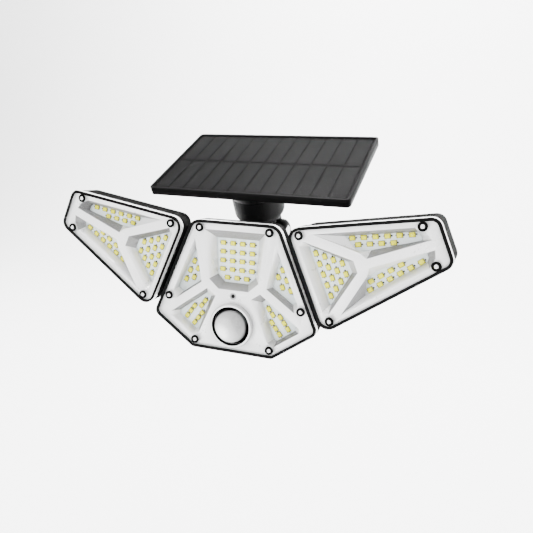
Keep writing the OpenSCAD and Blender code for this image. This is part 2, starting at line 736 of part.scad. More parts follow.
// Neck: a hollow cup under the panel and a round tongue between the turret's ears
module panel_neck() {
    color(black) panel_frame() difference() {
        union() {
            rotate_extrude() polygon(concat(
                [[0, cup_bottom], [cup_flat_r, cup_bottom]],
                [for (k = [1 : arc_steps])
                    [cup_flat_r + (cup_r - cup_flat_r) * sin(90 * k / arc_steps),
                        cup_bottom + cup_round * (1 - cos(90 * k / arc_steps))]],
                [[cup_r, neck_h - cup_flare_h], [cup_r + cup_flare, neck_h],
                    [cup_r - cup_wall, neck_h], [cup_r - cup_wall, cup_bottom + cup_round],
                    [cup_flat_r - cup_wall, cup_bottom + cup_wall], [0, cup_bottom + cup_wall]]));
            rod_x([0, 0], tongue_r, -tongue_w / 2, tongue_w / 2);
            block([-tongue_w / 2, -tongue_r, 0], [tongue_w / 2, tongue_r, cup_bottom + overrun]);
            for (x = [-1, 1]) translate([x * neck_screw_place, 0, cup_bottom + cup_wall - overrun])
                cylinder(h = neck_h - cup_bottom - cup_wall + overrun, r = neck_screw_r + cup_wall);
        }
        rod_x([0, 0], bolt_r + pin_clear, -tongue_w / 2 - overrun, tongue_w / 2 + overrun);
        for (x = [-1, 1]) translate([x * neck_screw_place, 0, neck_h - neck_screw_l])
            cylinder(h = neck_screw_l + overrun, r = neck_screw_r + thread_clear);
    }
}
function panel_outline(by) =
    let (w = panel_w / 2 - by, d = panel_d / 2 - by)
    rounded([[w, neck_shift + d], [-w, neck_shift + d], [-w, neck_shift - d], [w, neck_shift - d]],
        max(panel_r - by, panel_rim / 2));
module sheet(by, z0, z1) {
    translate([0, 0, z0]) linear_extrude(z1 - z0) polygon(panel_outline(by));
}
module panel_tray() {
    top = neck_h + panel_t;
    color(black) panel_frame() difference() {
        sheet(0, neck_h, top);
        sheet(panel_rim, top - recess_depth, top + overrun);
        for (x = [-1, 1]) translate([x * neck_screw_place, 0, neck_h - overrun])
            cylinder(h = panel_t, r = neck_screw_r + pass_clear);
        for (x = [-1, 1]) translate([x * neck_screw_place, 0, top - recess_depth - panel_screw_head_h])
            cylinder(h = panel_t, r = panel_screw_head_r + pass_clear);
    }
}
module panel_screws() {
    head_z = neck_h + panel_t - recess_depth - panel_screw_head_h;
    color(steel) panel_frame() for (x = [-1, 1]) {
        translate([x * neck_screw_place, 0, head_z])
            cylinder(h = panel_screw_head_h - layer_gap, r = panel_screw_head_r);
        translate([x * neck_screw_place, 0, neck_h - neck_screw_l + overrun])
            cylinder(h = head_z - neck_h + neck_screw_l, r = neck_screw_r);
    }
}
module solar_backing() {
    z = neck_h + panel_t - recess_depth;
    color([0.1, 0.1, 0.11]) panel_frame() sheet(panel_rim + panel_groove, z, z + backing_t);
}
module solar_cells() {
    z = neck_h + panel_t - recess_depth + backing_t;
    inside = [panel_w - 2 * cell_margin, panel_d - 2 * cell_margin];
    cell = [(inside[0] - (cell_cols - 1) * cell_gap) / cell_cols, (inside[1] - mid_gap) / 2];
    color([0.16, 0.16, 0.18]) panel_frame() for (i = [0 : cell_cols - 1], j = [0, 1])
        translate([i * (cell[0] + cell_gap) - inside[0] / 2,
            neck_shift - inside[1] / 2 + j * (cell[1] + mid_gap), z])
            cube([cell[0], cell[1], cell_t]);
}
module solar_cover() {
    z = neck_h + panel_t - recess_depth + backing_t + cell_t;
    color([0.3, 0.3, 0.33, 0.5]) panel_frame() sheet(panel_rim + panel_groove, z, z + cover_t);
}
// Socket for the panel's lead on its underside
module panel_gland() {
    color(dark) panel_frame() difference() {
        union() {
            translate([0, neck_shift + panel_gland_y, neck_h - gland_nut_h])
                cylinder(h = gland_nut_h, r = gland_nut_r, $fn = 6);
            translate([0, neck_shift + panel_gland_y, neck_h - gland_h]) cylinder(h = gland_h, r = gland_r);
        }
        translate([0, neck_shift + panel_gland_y, neck_h - gland_h - overrun])
            cylinder(h = gland_h, r = gland_bore_r);
    }
}

// Knuckles of one hinge as [lower end, upper end] along the axis
head_knuckles = [[-hinge_half, knuckle_l - hinge_half], [-knuckle_l / 2, knuckle_l / 2],
    [hinge_half - knuckle_l, hinge_half]];
wing_knuckles = [[knuckle_l - hinge_half + knuckle_gap, -knuckle_l / 2 - knuckle_gap],
    [knuckle_l / 2 + knuckle_gap, hinge_half - knuckle_l - knuckle_gap]];
// Hinge barrels with their leaves, reaching to one side of the axis
module knuckles(spans, toward) {
    front = slab_t - hinge_depth - overrun;
    for (s = spans) {
        translate([0, 0, s[0]]) cylinder(h = s[1] - s[0], r = barrel_r);
        block([toward < 0 ? -leaf_l : 0, front, s[0]],
            [toward < 0 ? 0 : leaf_l, front + leaf_t + overrun, s[1]]);
    }
}

module center_housing() {
    color(black) center_frame() difference() {
        union() {
            slice(center_outline(0), flange_y, flange_y + flange_t);
            slice(center_outline(flange_step), flange_y + flange_t, slab_t);
            slice(box_outline(0), slab_t - overrun, slab_t + collar_depth);
            both_sides() hinge_frame() knuckles(head_knuckles, -1);
        }
        difference() {
            slice(center_outline(wall), flange_y - overrun, slab_t - wall);
            for (p = center_screws_at) rod_y(p, boss_r, board_y + board_t, slab_t);
        }
        difference() {
            slice(box_outline(wall), slab_t, slab_t + collar_depth + overrun);
            for (p = rear_screws_at)
                rod_y(p, pillar_r, slab_t - overrun, slab_t + collar_depth + 2 * overrun);
        }
        boss_cuts("center", slab_t - wall / 2);
        rod_y(wire_hole_at, wire_hole_r, slab_t - wall - overrun, slab_t + overrun);
        for (p = rear_screws_at)
            rod_y(p, rear_screw_r + thread_clear, slab_t + wall, slab_t + collar_depth + overrun);
        both_sides() hinge_frame() translate([0, 0, -hinge_half - overrun])
            cylinder(h = 2 * hinge_half + 2 * overrun, r = hinge_pin_r + pin_clear);
    }
}

module center_gasket() { center_frame() gasket("center"); }
module center_lens() { center_frame() lens("center"); }
module center_bezel() { center_frame() bezel("center"); }
module center_reflector() {
    center_frame() {
        reflector("center");
    }
}
module center_led_board() { center_frame() led_board("center"); }
module center_screws() { center_frame() face_screws("center"); }
module center_screw_seals() { center_frame() washers("center"); }
module center_leds() {
    lean = atan2(side_led_step_share[0] * head_side_w / 2, side_led_step_share[1] * head_h);
    low_lean = atan2(low_led_step_share[0] * head_side_w / 2, low_led_step_share[1] * head_h);
    color(led_yellow) center_frame() {
        for (i = [0 : top_led_counts[0] - 1], j = [0 : top_led_counts[1] - 1])
            led(top_at(top_led_share + [i * top_led_step_share[0], j * top_led_step_share[1]]), 0);
        for (i = [0 : top_led_last_count - 1])
            led(top_at(top_led_last_share + [i * top_led_step_share[0], 0]), 0);
        both_sides() {
            for (row = [0 : len(side_led_counts) - 1], k = [0 : side_led_counts[row] - 1])
                led(center_at(side_led_row_shares[row] + k * side_led_step_share), lean);
            for (row = [0 : len(low_led_counts) - 1], k = [0 : low_led_counts[row] - 1])
                led(center_at(low_led_row_shares[row] + k * low_led_step_share), low_lean);
        }
    }
}
// Side of a round cap on a cylinder: from the cylinder's foot up its wall and over the cap to the axis
function cap_side(r, curve_r, middle, foot) =
    let (reach = asin(r / curve_r))
    concat([[0, foot], [r, foot]],
        [for (k = [0 : 2 * arc_steps])
            let (a = reach * (1 - k / (2 * arc_steps)))
            [curve_r * sin(a), curve_r * cos(a) + middle]]);
// Milky dome over the motion sensor, on a straight wall with a flange behind the reflector's plate
module pir_dome() {
    middle = dome_h - dome_curve_r;
    flange_back = reflector_y + reflector_t + dome_flange_t;
    color([0.95, 0.95, 0.95]) center_frame() translate([dome_at[0], 0, dome_at[1]]) difference() {
        union() {
            rotate([90, 0, 0]) rotate_extrude() polygon(cap_side(dome_r, dome_curve_r, middle, -flange_back));
            rod_y([0, 0], dome_r + 2 * dome_lip, flange_back - dome_flange_t, flange_back);
        }
        rotate([90, 0, 0]) rotate_extrude()
            polygon(cap_side(dome_r - dome_wall, dome_curve_r - dome_wall, middle, -board_y));
    }
}
// Raised ring round the dome
module pir_ring() {
    color(silver) center_frame() difference() {
        rod_y(dome_at, ring_r, -ring_proud, reflector_y);
        rod_y(dome_at, dome_r + dome_lip, -ring_proud - overrun, reflector_y + overrun);
    }
}
module pir_sensor() {
    color(steel) center_frame() rod_y(dome_at, pir_can_r, board_y - pir_can_h, board_y);
}
module light_sensor() {
    color(black) center_frame() rod_y(light_sensor_at, light_sensor_r, reflector_y, board_y);
}
module rear_gasket() {
    y = slab_t + collar_depth;
    color(dark) center_frame() difference() {
        slice(box_outline(groove_inset / 2), y, y + rear_gasket_t);
        slice(box_outline(wall), y - overrun, y + rear_gasket_t + overrun);
        for (p = rear_screws_at)
            rod_y(p, rear_screw_r + pass_clear, y - overrun, y + rear_gasket_t + overrun);
    }
}
module rear_cover() {
    y = slab_t + collar_depth + rear_gasket_t;
    color(black) center_frame() difference() {
        union() {
            difference() {
                slice(box_outline(0), y, back_y);
                slice(box_outline(wall), y - overrun, box_wall_y);
            }
            for (p = rear_screws_at) rod_y(p, pillar_r, y, back_y - overrun);
            for (p = standoffs_at) rod_y(p, standoff_r, control_y + control_t, back_y - overrun);
            rod_x([head_reach, 0], lug_r, -lug_half, lug_half);
            block([-lug_half, back_y - overrun, -lug_r], [lug_half, head_reach, lug_r]);
        }
        rod_x([head_reach, 0], bolt_r + pin_clear, -lug_half - overrun, lug_half + overrun);
        for (p = rear_screws_at) {
            rod_y(p, rear_screw_r + pass_clear, y - overrun, back_y + overrun);
            rod_y(p, rear_screw_head_r + pass_clear, back_y - rear_screw_head_h, back_y + overrun);
        }
        rod_y(button_place, button_r + button_clear, box_wall_y - overrun, back_y + overrun);
        rod_y(gland_place, gland_bore_r, box_wall_y - overrun, back_y + overrun);
    }
}
module rear_screws() {
    color(steel) center_frame() for (p = rear_screws_at) {
        rod_y(p, rear_screw_head_r, back_y - rear_screw_head_h, back_y - layer_gap);
        rod_y(p, rear_screw_r, slab_t + 2 * wall, back_y - rear_screw_head_h + overrun);
    }
}
module control_board() {
    color([0.1, 0.35, 0.2]) center_frame() {
        slice(control_points, control_y, control_y + control_t);
        translate([button_place[0] - switch_w / 2, control_y + control_t - overrun,
            button_place[1] - switch_w / 2]) cube([switch_w, switch_h + overrun, switch_w]);
        translate([-chip_w / 2, control_y - chip_h, gland_place[1]])
            cube([chip_w, chip_h + overrun, chip_w]);
    }
}
module mode_button() {
    color([0.25, 0.25, 0.27]) center_frame() {
        rod_y(button_place, button_r, box_wall_y - button_flange_t - move_gap, back_y + button_proud);
        rod_y(button_place, button_flange_r, box_wall_y - button_flange_t - move_gap,
            box_wall_y - move_gap);
    }
}
module lamp_gland() {
    color(dark) center_frame() difference() {
        union() {
            translate([gland_place[0], back_y + gland_nut_h, gland_place[1]]) rotate([90, 0, 0])
                cylinder(h = gland_nut_h, r = gland_nut_r, $fn = 6);
            rod_y(gland_place, gland_r, back_y, back_y + gland_h);
        }
        rod_y(gland_place, gland_bore_r, back_y - overrun, back_y + gland_h + overrun);
    }
}
module battery_cell() {
    color([0.2, 0.45, 0.75]) center_frame() {
        rod_x([battery_y, battery_z], battery_r, -battery_l / 2, battery_l / 2 - battery_tip_h);
        rod_x([battery_y, battery_z], battery_tip_r, -battery_l / 2, battery_l / 2);
    }
}
module battery_holder() {
    half = battery_l / 2 + layer_gap;
    color(dark) center_frame() {
        block([-half, slab_t, battery_z - battery_r / 2],
            [half, slab_t + holder_t, battery_z + battery_r / 2]);
        both_sides() block([half, slab_t, battery_z - holder_end_h / 2],
            [half + holder_end_t, battery_y + battery_r / 2, battery_z + holder_end_h / 2]);
    }
}
// Hinge pins, pressed into the head's knuckles
module hinge_pin_right() {
    color(steel) center_frame() hinge_frame() translate([0, 0, -hinge_half])
        cylinder(h = 2 * hinge_half, r = hinge_pin_r);
}
module hinge_pin_left() { mirror([1, 0, 0]) hinge_pin_right(); }

// Wing's housing: flange, slab, ribbed back and knuckles, hollow inside
module wing_housing() {
    back = slab_t + wing_back;
    back_points = inset(wing_points, [back_start - wing_gap / 2, flange_step, flange_step, flange_step]);
    color(black) difference() {
        union() {
            slice(wing_outline(0), flange_y, flange_y + flange_t);
            slice(wing_outline(flange_step), flange_y + flange_t, slab_t);
            slice(rounded(back_points, shrink(wing_radii, flange_step)), slab_t - overrun, back);
            translate([0, hinge_depth, 0]) knuckles(wing_knuckles, 1);
        }
        difference() {
            union() {
                slice(wing_outline(wall), flange_y - overrun, slab_t - wall);
                slice(rounded(inset(back_points, wall), shrink(wing_radii, flange_step + wall)),
                    slab_t - wall - overrun, back - wall);
            }
            for (p = wing_screws_at) rod_y(p, boss_r, board_y + board_t, back);
        }
        difference() {
            for (i = [0 : fin_count - 1])
                translate([back_start + fin_margin + i * fin_pitch, fin_y, -wing_inner_w])
                    cube([fin_gap, back - fin_back - fin_y, 2 * wing_inner_w]);
            slice(rounded(inset(back_points, fin_depth), shrink(wing_radii, flange_step + fin_depth)),
                fin_y - overrun, back);
        }
        boss_cuts("wing", slab_t + wall);
        translate([0, hinge_depth, -hinge_half - overrun])
            cylinder(h = 2 * hinge_half + 2 * overrun, r = hinge_pin_r + pin_clear);
    }
}
module wing_leds() {
    color(led_yellow) {
        for (column = [0 : len(inner_led_counts) - 1], k = [0 : inner_led_counts[column] - 1])
            led(wing_led_at([inner_led_column_shares[column],
                (k - (inner_led_counts[column] - 1) / 2) * inner_led_step_share]), 90);
        for (row = [0 : len(long_led_counts) - 1], k = [0 : long_led_counts[row] - 1], side = [-1, 1])
            led(wing_led_at([long_led_row_shares[row][0] + k * long_led_step_share[0],
                side * (long_led_row_shares[row][1] + k * long_led_step_share[1])]),
                -side * wing_slope - wing_lean);
    }
}
module left_wing_housing() { left_frame() wing_housing(); }
module left_wing_gasket() { left_frame() gasket("wing"); }
module left_wing_reflector() { left_frame() reflector("wing"); }
module left_wing_lens() { left_frame() lens("wing"); }
module left_wing_bezel() { left_frame() bezel("wing"); }
module left_wing_led_board() { left_frame() led_board("wing"); }
module left_wing_leds() { left_frame() wing_leds(); }
module left_wing_screws() { left_frame() face_screws("wing"); }
module left_wing_screw_seals() { left_frame() washers("wing"); }
module right_wing_housing() { right_frame() wing_housing(); }
module right_wing_gasket() { right_frame() gasket("wing"); }
module right_wing_reflector() { right_frame() reflector("wing"); }
module right_wing_lens() { right_frame() lens("wing"); }
module right_wing_bezel() { right_frame() bezel("wing"); }
module right_wing_led_board() { right_frame() led_board("wing"); }
module right_wing_leds() { right_frame() wing_leds(); }
module right_wing_screws() { right_frame() face_screws("wing"); }
module right_wing_screw_seals() { right_frame() washers("wing"); }

wall_plate();
bracket_arm();
arm_screws();
lamp_tilt_bolt();
lamp_tilt_nut();
panel_turret();
turret_washer();
turret_screw();
panel_tilt_bolt();
panel_tilt_nut();
panel_neck();
panel_tray();
panel_screws();
solar_backing();
solar_cells();
solar_cover();
panel_gland();
center_housing();
center_gasket();
center_reflector();
center_lens();
center_bezel();
center_led_board();
center_leds();
center_screws();
center_screw_seals();
pir_dome();
pir_ring();
pir_sensor();
light_sensor();
rear_gasket();
rear_cover();
rear_screws();
control_board();
battery_holder();
battery_cell();
mode_button();
lamp_gland();
hinge_pin_left();
hinge_pin_right();
left_wing_housing();
left_wing_gasket();
left_wing_reflector();
left_wing_lens();
left_wing_bezel();
left_wing_led_board();
left_wing_leds();
left_wing_screws();
left_wing_screw_seals();
right_wing_housing();
right_wing_gasket();
right_wing_reflector();
right_wing_lens();
right_wing_bezel();
right_wing_led_board();
right_wing_leds();
right_wing_screws();
right_wing_screw_seals();
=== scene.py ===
"""Motion sensor security light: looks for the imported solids, in metres, in the part's own frame."""

import json
import logging
import math
from collections.abc import Callable, Sequence
from dataclasses import dataclass, field
from enum import Enum
from functools import cache

import bmesh
import bpy
from mathutils import Matrix, Vector

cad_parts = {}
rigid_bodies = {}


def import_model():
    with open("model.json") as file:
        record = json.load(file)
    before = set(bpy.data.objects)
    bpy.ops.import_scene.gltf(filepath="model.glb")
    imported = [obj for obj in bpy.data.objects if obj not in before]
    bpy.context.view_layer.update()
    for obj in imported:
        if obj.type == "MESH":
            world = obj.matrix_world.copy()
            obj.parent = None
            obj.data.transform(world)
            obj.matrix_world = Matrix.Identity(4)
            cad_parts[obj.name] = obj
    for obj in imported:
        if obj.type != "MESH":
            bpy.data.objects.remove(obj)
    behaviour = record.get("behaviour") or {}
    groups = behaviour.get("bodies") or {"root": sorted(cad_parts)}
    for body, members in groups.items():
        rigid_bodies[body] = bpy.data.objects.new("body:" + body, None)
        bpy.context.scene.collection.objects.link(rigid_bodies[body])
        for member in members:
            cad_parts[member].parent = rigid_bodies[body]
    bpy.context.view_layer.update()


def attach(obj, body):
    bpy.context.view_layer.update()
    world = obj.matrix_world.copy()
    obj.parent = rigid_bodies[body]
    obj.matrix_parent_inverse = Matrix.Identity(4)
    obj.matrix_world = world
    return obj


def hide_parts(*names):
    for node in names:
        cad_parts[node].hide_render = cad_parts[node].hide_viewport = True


LOG = logging.getLogger("security_light")
MM = 0.001
# Mesh limits, in metres and degrees
AXIS_RADIUS = 1e-9
MERGE = 2e-6
FINE_MERGE = 1e-7
FLAT_ANGLE = 0.6
SOFT_CORNER = 28.0
SOFT_STEPS = 2
# Shader constants: depth of the bumps in metres, strength of hairlines, range of the patch noise
BUMP_DEPTH = 0.00005
HAIRLINE_BUMP = 0.15
PATCH_RANGE = (0.3, 0.7)

Place = tuple[float, float]
Triple = tuple[float, float, float]
Run = tuple[bpy.types.Node, str | int, bpy.types.Node, str | int]


class Side(Enum):
    """Which wing of the light is meant."""

    LEFT = "left"
    RIGHT = "right"


class Shade(Enum):
    """How dark the painted shade on a pocket's wall is: darker silver that stands in for the shade on steep
    reflector walls.
    """

    SOFT = "soft"
    GREY = "grey"
    DEEP = "deep"


# Node trees


def new_tree(name: str, kind: str, inputs: dict[str, tuple[str, float | None]],
             outputs: dict[str, str]) -> bpy.types.NodeTree:
    """Make an empty node group with its sockets.

    Args:
        name: The group's name.
        kind: The group's type.
        inputs: The form and the default value of each input, by name.
        outputs: The form of each output, by name.

    Returns:
        The group.
    """
    tree = bpy.data.node_groups.new(name, kind)
    for label, (form, value) in inputs.items():
        made = tree.interface.new_socket(label, in_out="INPUT", socket_type="NodeSocket" + form)
        if value is not None:
            made.default_value = value
    for label, form in outputs.items():
        tree.interface.new_socket(label, in_out="OUTPUT", socket_type="NodeSocket" + form)
    return tree


def add(tree: bpy.types.NodeTree, kind: str, values: dict[str | int, object] | None = None,
        **settings: object) -> bpy.types.Node:
    """Add a node to a tree.

    Args:
        tree: The tree.
        kind: The node's type.
        values: What its inputs are set to, by name or number.
        settings: Its own settings, made before its inputs are set.

    Returns:
        The node.
    """
    node = tree.nodes.new(kind)
    for name, value in settings.items():
        setattr(node, name, value)
    for name, value in (values or {}).items():
        node.inputs[name].default_value = value
    return node


def wire(tree: bpy.types.NodeTree, *runs: Run) -> None:
    """Link nodes of a tree.

    Args:
        tree: The tree.
        runs: For each link, a node with its output and a node with its input.
    """
    for source, output, target, entry in runs:
        tree.links.new(source.outputs[output], target.inputs[entry])


def grade(node: bpy.types.Node, stops: Sequence[Place]) -> None:
    """Set a colour ramp to greys.

    Args:
        node: The ramp.
        stops: A position and a grey for each stop.
    """
    elements = node.color_ramp.elements
    while len(elements) < len(stops):
        elements.new(0.5)
    for stop, (position, value) in zip(elements, stops):
        stop.position = position
        stop.color = (value, value, value, 1)


class Shading:
    """Shader node groups that several finishes share, each built once."""

    @staticmethod
    @cache
    def grain() -> bpy.types.NodeTree:
        """Fine moulded grain with slow patches.

        Returns:
            A group with Scale and Patch scale inputs and Height and Patch outputs.
        """
        tree = new_tree("Moulded grain", "ShaderNodeTree",
                        {"Scale": ("Float", 2500.0), "Patch scale": ("Float", 60.0)},
                        {"Height": "Float", "Patch": "Float"})
        begin, end = add(tree, "NodeGroupInput"), add(tree, "NodeGroupOutput")
        spot = add(tree, "ShaderNodeTexCoord")
        fine = add(tree, "ShaderNodeTexNoise", {"Detail": 3.0})
        slow = add(tree, "ShaderNodeTexNoise", {"Detail": 4.0, "Roughness": 0.6})
        for noise, scale, output in ((fine, "Scale", "Height"), (slow, "Patch scale", "Patch")):
            wire(tree, (spot, "Object", noise, "Vector"), (begin, scale, noise, "Scale"),
                 (noise, "Fac", end, output))
        return tree

    @staticmethod
    @cache
    def scratches() -> bpy.types.NodeTree:
        """Hairline marks drawn along one way of the surface.

        Returns:
            A group with Scale, Stretch and Amount inputs and a Height output.
        """
        tree = new_tree("Hairlines", "ShaderNodeTree",
                        {"Scale": ("Float", 900.0), "Stretch": ("Float", 14.0), "Amount": ("Float", 1.0)},
                        {"Height": "Float"})
        begin, end = add(tree, "NodeGroupInput"), add(tree, "NodeGroupOutput")
        spot = add(tree, "ShaderNodeTexCoord")
        join = add(tree, "ShaderNodeCombineXYZ", {0: 1.0, 1: 1.0})
        stretch = add(tree, "ShaderNodeVectorMath", operation="MULTIPLY")
        noise = add(tree, "ShaderNodeTexNoise", {"Detail": 2.0})
        gain = add(tree, "ShaderNodeMath", operation="MULTIPLY")
        wire(tree, (begin, "Stretch", join, 2), (spot, "Object", stretch, 0), (join, 0, stretch, 1),
             (stretch, 0, noise, "Vector"), (begin, "Scale", noise, "Scale"), (noise, "Fac", gain, 0),
             (begin, "Amount", gain, 1), (gain, 0, end, "Height"))
        return tree


@dataclass(frozen=True)
class Finish:
    """One finish of the light, with its constants set on the shader's own sockets."""

    name: str
    colour: Triple
    slot: str
    rough: Place = (0.4, 0.5)
    metallic: float = 0.0
    coat: float = 0.0
    coat_rough: float = 0.1
    alpha: float = 1.0
    ior: float = 1.5
    specular: float = 0.5
    tint: float = 0.12
    grain_scale: float = 2500.0
    patch_scale: float = 60.0
    bump: float = 0.08
    hairlines: float = 0.0

    def material(self) -> bpy.types.Material:
        """Build the finish, or give back the one built before.

        Returns:
            The material, ready for a slot.
        """
        known = bpy.data.materials.get(self.name)
        if known is not None:
            return known
        made = bpy.data.materials.new(self.name)
        made.use_nodes = True
        tree = made.node_tree
        shader = tree.nodes["Principled BSDF"]
        for name, value in (("Metallic", self.metallic), ("IOR", self.ior), ("Alpha", self.alpha),
                            ("Specular IOR Level", self.specular), ("Coat Weight", self.coat),
                            ("Coat Roughness", self.coat_rough)):
            shader.inputs[name].default_value = value
        grain = add(tree, "ShaderNodeGroup", {"Scale": self.grain_scale, "Patch scale": self.patch_scale},
                    node_tree=Shading.grain())
        spread = add(tree, "ShaderNodeMapRange", {"From Min": PATCH_RANGE[0], "From Max": PATCH_RANGE[1],
                                                  "To Min": self.rough[0], "To Max": self.rough[1]})
        self.colour_nodes(tree, shader, grain)
        last = bump = add(tree, "ShaderNodeBump", {"Strength": self.bump, "Distance": BUMP_DEPTH})
        wire(tree, (grain, "Patch", spread, "Value"), (spread, "Result", shader, "Roughness"),
             (grain, "Height", bump, "Height"))
        if self.hairlines > 0:
            lines = add(tree, "ShaderNodeGroup", {"Amount": self.hairlines}, node_tree=Shading.scratches())
            last = add(tree, "ShaderNodeBump", {"Strength": HAIRLINE_BUMP, "Distance": BUMP_DEPTH})
            wire(tree, (lines, "Height", last, "Height"), (bump, "Normal", last, "Normal"))
        wire(tree, (last, "Normal", shader, "Normal"))
        return made

    def colour_nodes(self, tree: bpy.types.NodeTree, shader: bpy.types.Node, grain: bpy.types.Node) -> None:
        """Vary the base colour a little over the surface.

        Args:
            tree: The material's nodes.
            shader: The Principled shader.
            grain: The grain group in this material.
        """
        low = tuple(c * (1 - self.tint) for c in self.colour)
        high = tuple(min(1.0, c * (1 + self.tint)) for c in self.colour)
        blend = add(tree, "ShaderNodeMix", {"A": (*low, 1), "B": (*high, 1)}, data_type="RGBA")
        wire(tree, (grain, "Patch", blend, "Factor"), (blend, "Result", shader, "Base Color"))


@dataclass(frozen=True)
class DomeFinish(Finish):
    """Milky plastic with a painted highlight off its middle that falls off into painted shade, faint lens
    cells, and a painted black shadow at its edge.
    """

    # The painted highlight: where it is centred, how far it reaches, and its greys from the spot out into
    # painted shade.
    middle: Triple = (0.0, 0.0, 0.0)
    reach: float = 0.015
    stops: tuple[Place, ...] = ((0.0, 0.16), (0.3, 0.25), (0.6, 0.5), (0.85, 0.95), (1.0, 1.0))
    cell: float = 620.0
    cell_range: float = 0.8
    cell_tones: Place = (0.94, 1.06)
    # The painted black shadow lies outside an ellipse about the dome's centre, turned and softened by these.
    centre: Triple = (0.0, 0.0, 0.0)
    unshadowed_long: float = 0.0102
    unshadowed_short: float = 0.0094
    shadow_turn: float = 45.0
    shadow_fade: Place = (0.48, 0.53)
    shadow_tone: float = 0.004
    any_depth: float = 1000.0

    def colour_nodes(self, tree: bpy.types.NodeTree, shader: bpy.types.Node, grain: bpy.types.Node) -> None:
        """Paint a highlight at a spot that falls off into painted shade, and a painted black shadow round
        the edge, under a pattern of cells.

        Args:
            tree: The material's nodes.
            shader: The Principled shader.
            grain: The grain group in this material.
        """
        scale = 1 / self.reach
        x, _, z = self.middle
        spot = add(tree, "ShaderNodeTexCoord")
        centre = add(tree, "ShaderNodeMapping", {"Location": (-x * scale, 0, -z * scale),
                                                 "Scale": (scale, 0, scale)})
        fade = add(tree, "ShaderNodeTexGradient", gradient_type="SPHERICAL")
        tone = add(tree, "ShaderNodeValToRGB")
        grade(tone, self.stops)
        cells = add(tree, "ShaderNodeTexVoronoi", {"Scale": self.cell})
        mottle = add(tree, "ShaderNodeMapRange", {"From Max": self.cell_range, "To Min": self.cell_tones[0],
                                                  "To Max": self.cell_tones[1]})
        sight = add(tree, "ShaderNodeMapping",
                    {"Location": self.centre, "Rotation": (0, math.radians(self.shadow_turn), 0),
                     "Scale": (2 * self.unshadowed_short, self.any_depth, 2 * self.unshadowed_long)},
                    vector_type="TEXTURE")
        edge = add(tree, "ShaderNodeTexGradient", gradient_type="SPHERICAL")
        cut = add(tree, "ShaderNodeMapRange", {"From Min": self.shadow_fade[0], "From Max": self.shadow_fade[1],
                                               "To Min": self.shadow_tone})
        celled, dark = (add(tree, "ShaderNodeMix", {"Factor": 1.0}, data_type="RGBA", blend_type="MULTIPLY")
                        for _ in range(2))
        wire(tree, (spot, "Object", centre, "Vector"), (centre, "Vector", fade, "Vector"),
             (fade, "Fac", tone, "Fac"), (tone, "Color", celled, "A"), (spot, "Object", cells, "Vector"),
             (cells, "Distance", mottle, "Value"), (mottle, "Result", celled, "B"),
             (spot, "Object", sight, "Vector"), (sight, "Vector", edge, "Vector"),
             (edge, "Fac", cut, "Value"), (celled, "Result", dark, "A"), (cut, "Result", dark, "B"),
             (dark, "Result", shader, "Base Color"))


BLACK_MOULDED = Finish("Black moulded plastic", (0.005, 0.005, 0.0052), "black_plastic", (0.4, 0.52),
                       tint=0.3, bump=0.22, ior=1.12)
BLACK_CASE = Finish("Black ribbed case", (0.006, 0.006, 0.006), "black_plastic", (0.5, 0.6), tint=0.2,
                    bump=0.1, ior=1.025)
BLACK_PANEL = Finish("Black panel tray", (0.0035, 0.0035, 0.0036), "black_plastic", (0.34, 0.46), tint=0.25,
                     bump=0.12, ior=1.08)
PEARL = Finish("Pearl silver plate", (0.79, 0.79, 0.79), "reflector_silver", (0.26, 0.34), metallic=0.3,
               coat=0.1, tint=0.03, bump=0.03, grain_scale=4000.0)
# Painted shade: darker silver finishes on chosen pocket walls, on the eye's seat and on the sensor ring's
# edge, standing in for shade on one silver reflector.
PAINTED_SHADES: dict[Shade, Finish] = {
    shade: Finish(f"Painted shade silver, {shade.value}", (grey, grey, grey), "reflector_silver", (0.3, 0.4),
                  tint=tint, bump=0.08, specular=0.3, patch_scale=160.0)
    for shade, grey, tint in ((Shade.SOFT, 0.32, 0.08), (Shade.GREY, 0.17, 0.1), (Shade.DEEP, 0.09, 0.12))
}
TRIM = Finish("Silver rim", (0.88, 0.88, 0.88), "trim_silver", (0.2, 0.3), metallic=0.4, coat=0.3,
              tint=0.03, bump=0.03)
CLEAR = Finish("Clear front", (0.95, 0.96, 0.97), "clear_plastic", (0.03, 0.06), alpha=0.012, tint=0.01,
               bump=0.01, ior=1.3)
# Black seal finish, also used as the painted shadow in the gap round the sensor dome.
BLACK_SEAL_AND_SHADOW = Finish("Black seal", (0.004, 0.004, 0.004), "black_rubber", (0.4, 0.5), tint=0.3, bump=0.15, ior=1.06)
WASHER = Finish("Screw seal", (0.003, 0.003, 0.003), "black_rubber", (0.3, 0.4), tint=0.2, bump=0.08,
                ior=1.04)
BUTTON_RUBBER = Finish("Button rubber", (0.06, 0.06, 0.065), "grey_rubber", (0.5, 0.65), tint=0.2, bump=0.15)
STEEL = Finish("Plain steel", (0.62, 0.62, 0.63), "steel", (0.2, 0.34), metallic=1.0, tint=0.06, bump=0.02,
               hairlines=0.6)
BRIGHT_SCREW = Finish("Bright screw", (0.8, 0.8, 0.8), "steel", (0.2, 0.3), metallic=0.6, tint=0.04,
                      bump=0.02)
BOARD = Finish("Pale board", (0.68, 0.745, 0.745), "led_board", (0.4, 0.55), tint=0.05, bump=0.06,
               grain_scale=6000.0, patch_scale=1400.0, specular=0.3)
CASE = Finish("Chip case", (0.22, 0.21, 0.01), "led_chip", (0.3, 0.4), tint=0.06, bump=0.02, ior=1.1)
PHOSPHOR = Finish("Yellow phosphor", (0.68, 0.655, 0.0), "led_chip", (0.35, 0.5), tint=0.05, bump=0.1,
                  grain_scale=9000.0, patch_scale=2500.0, ior=1.05)
MARK = Finish("Dark part on the board", (0.012, 0.012, 0.012), "black_plastic", bump=0.02, ior=1.05)
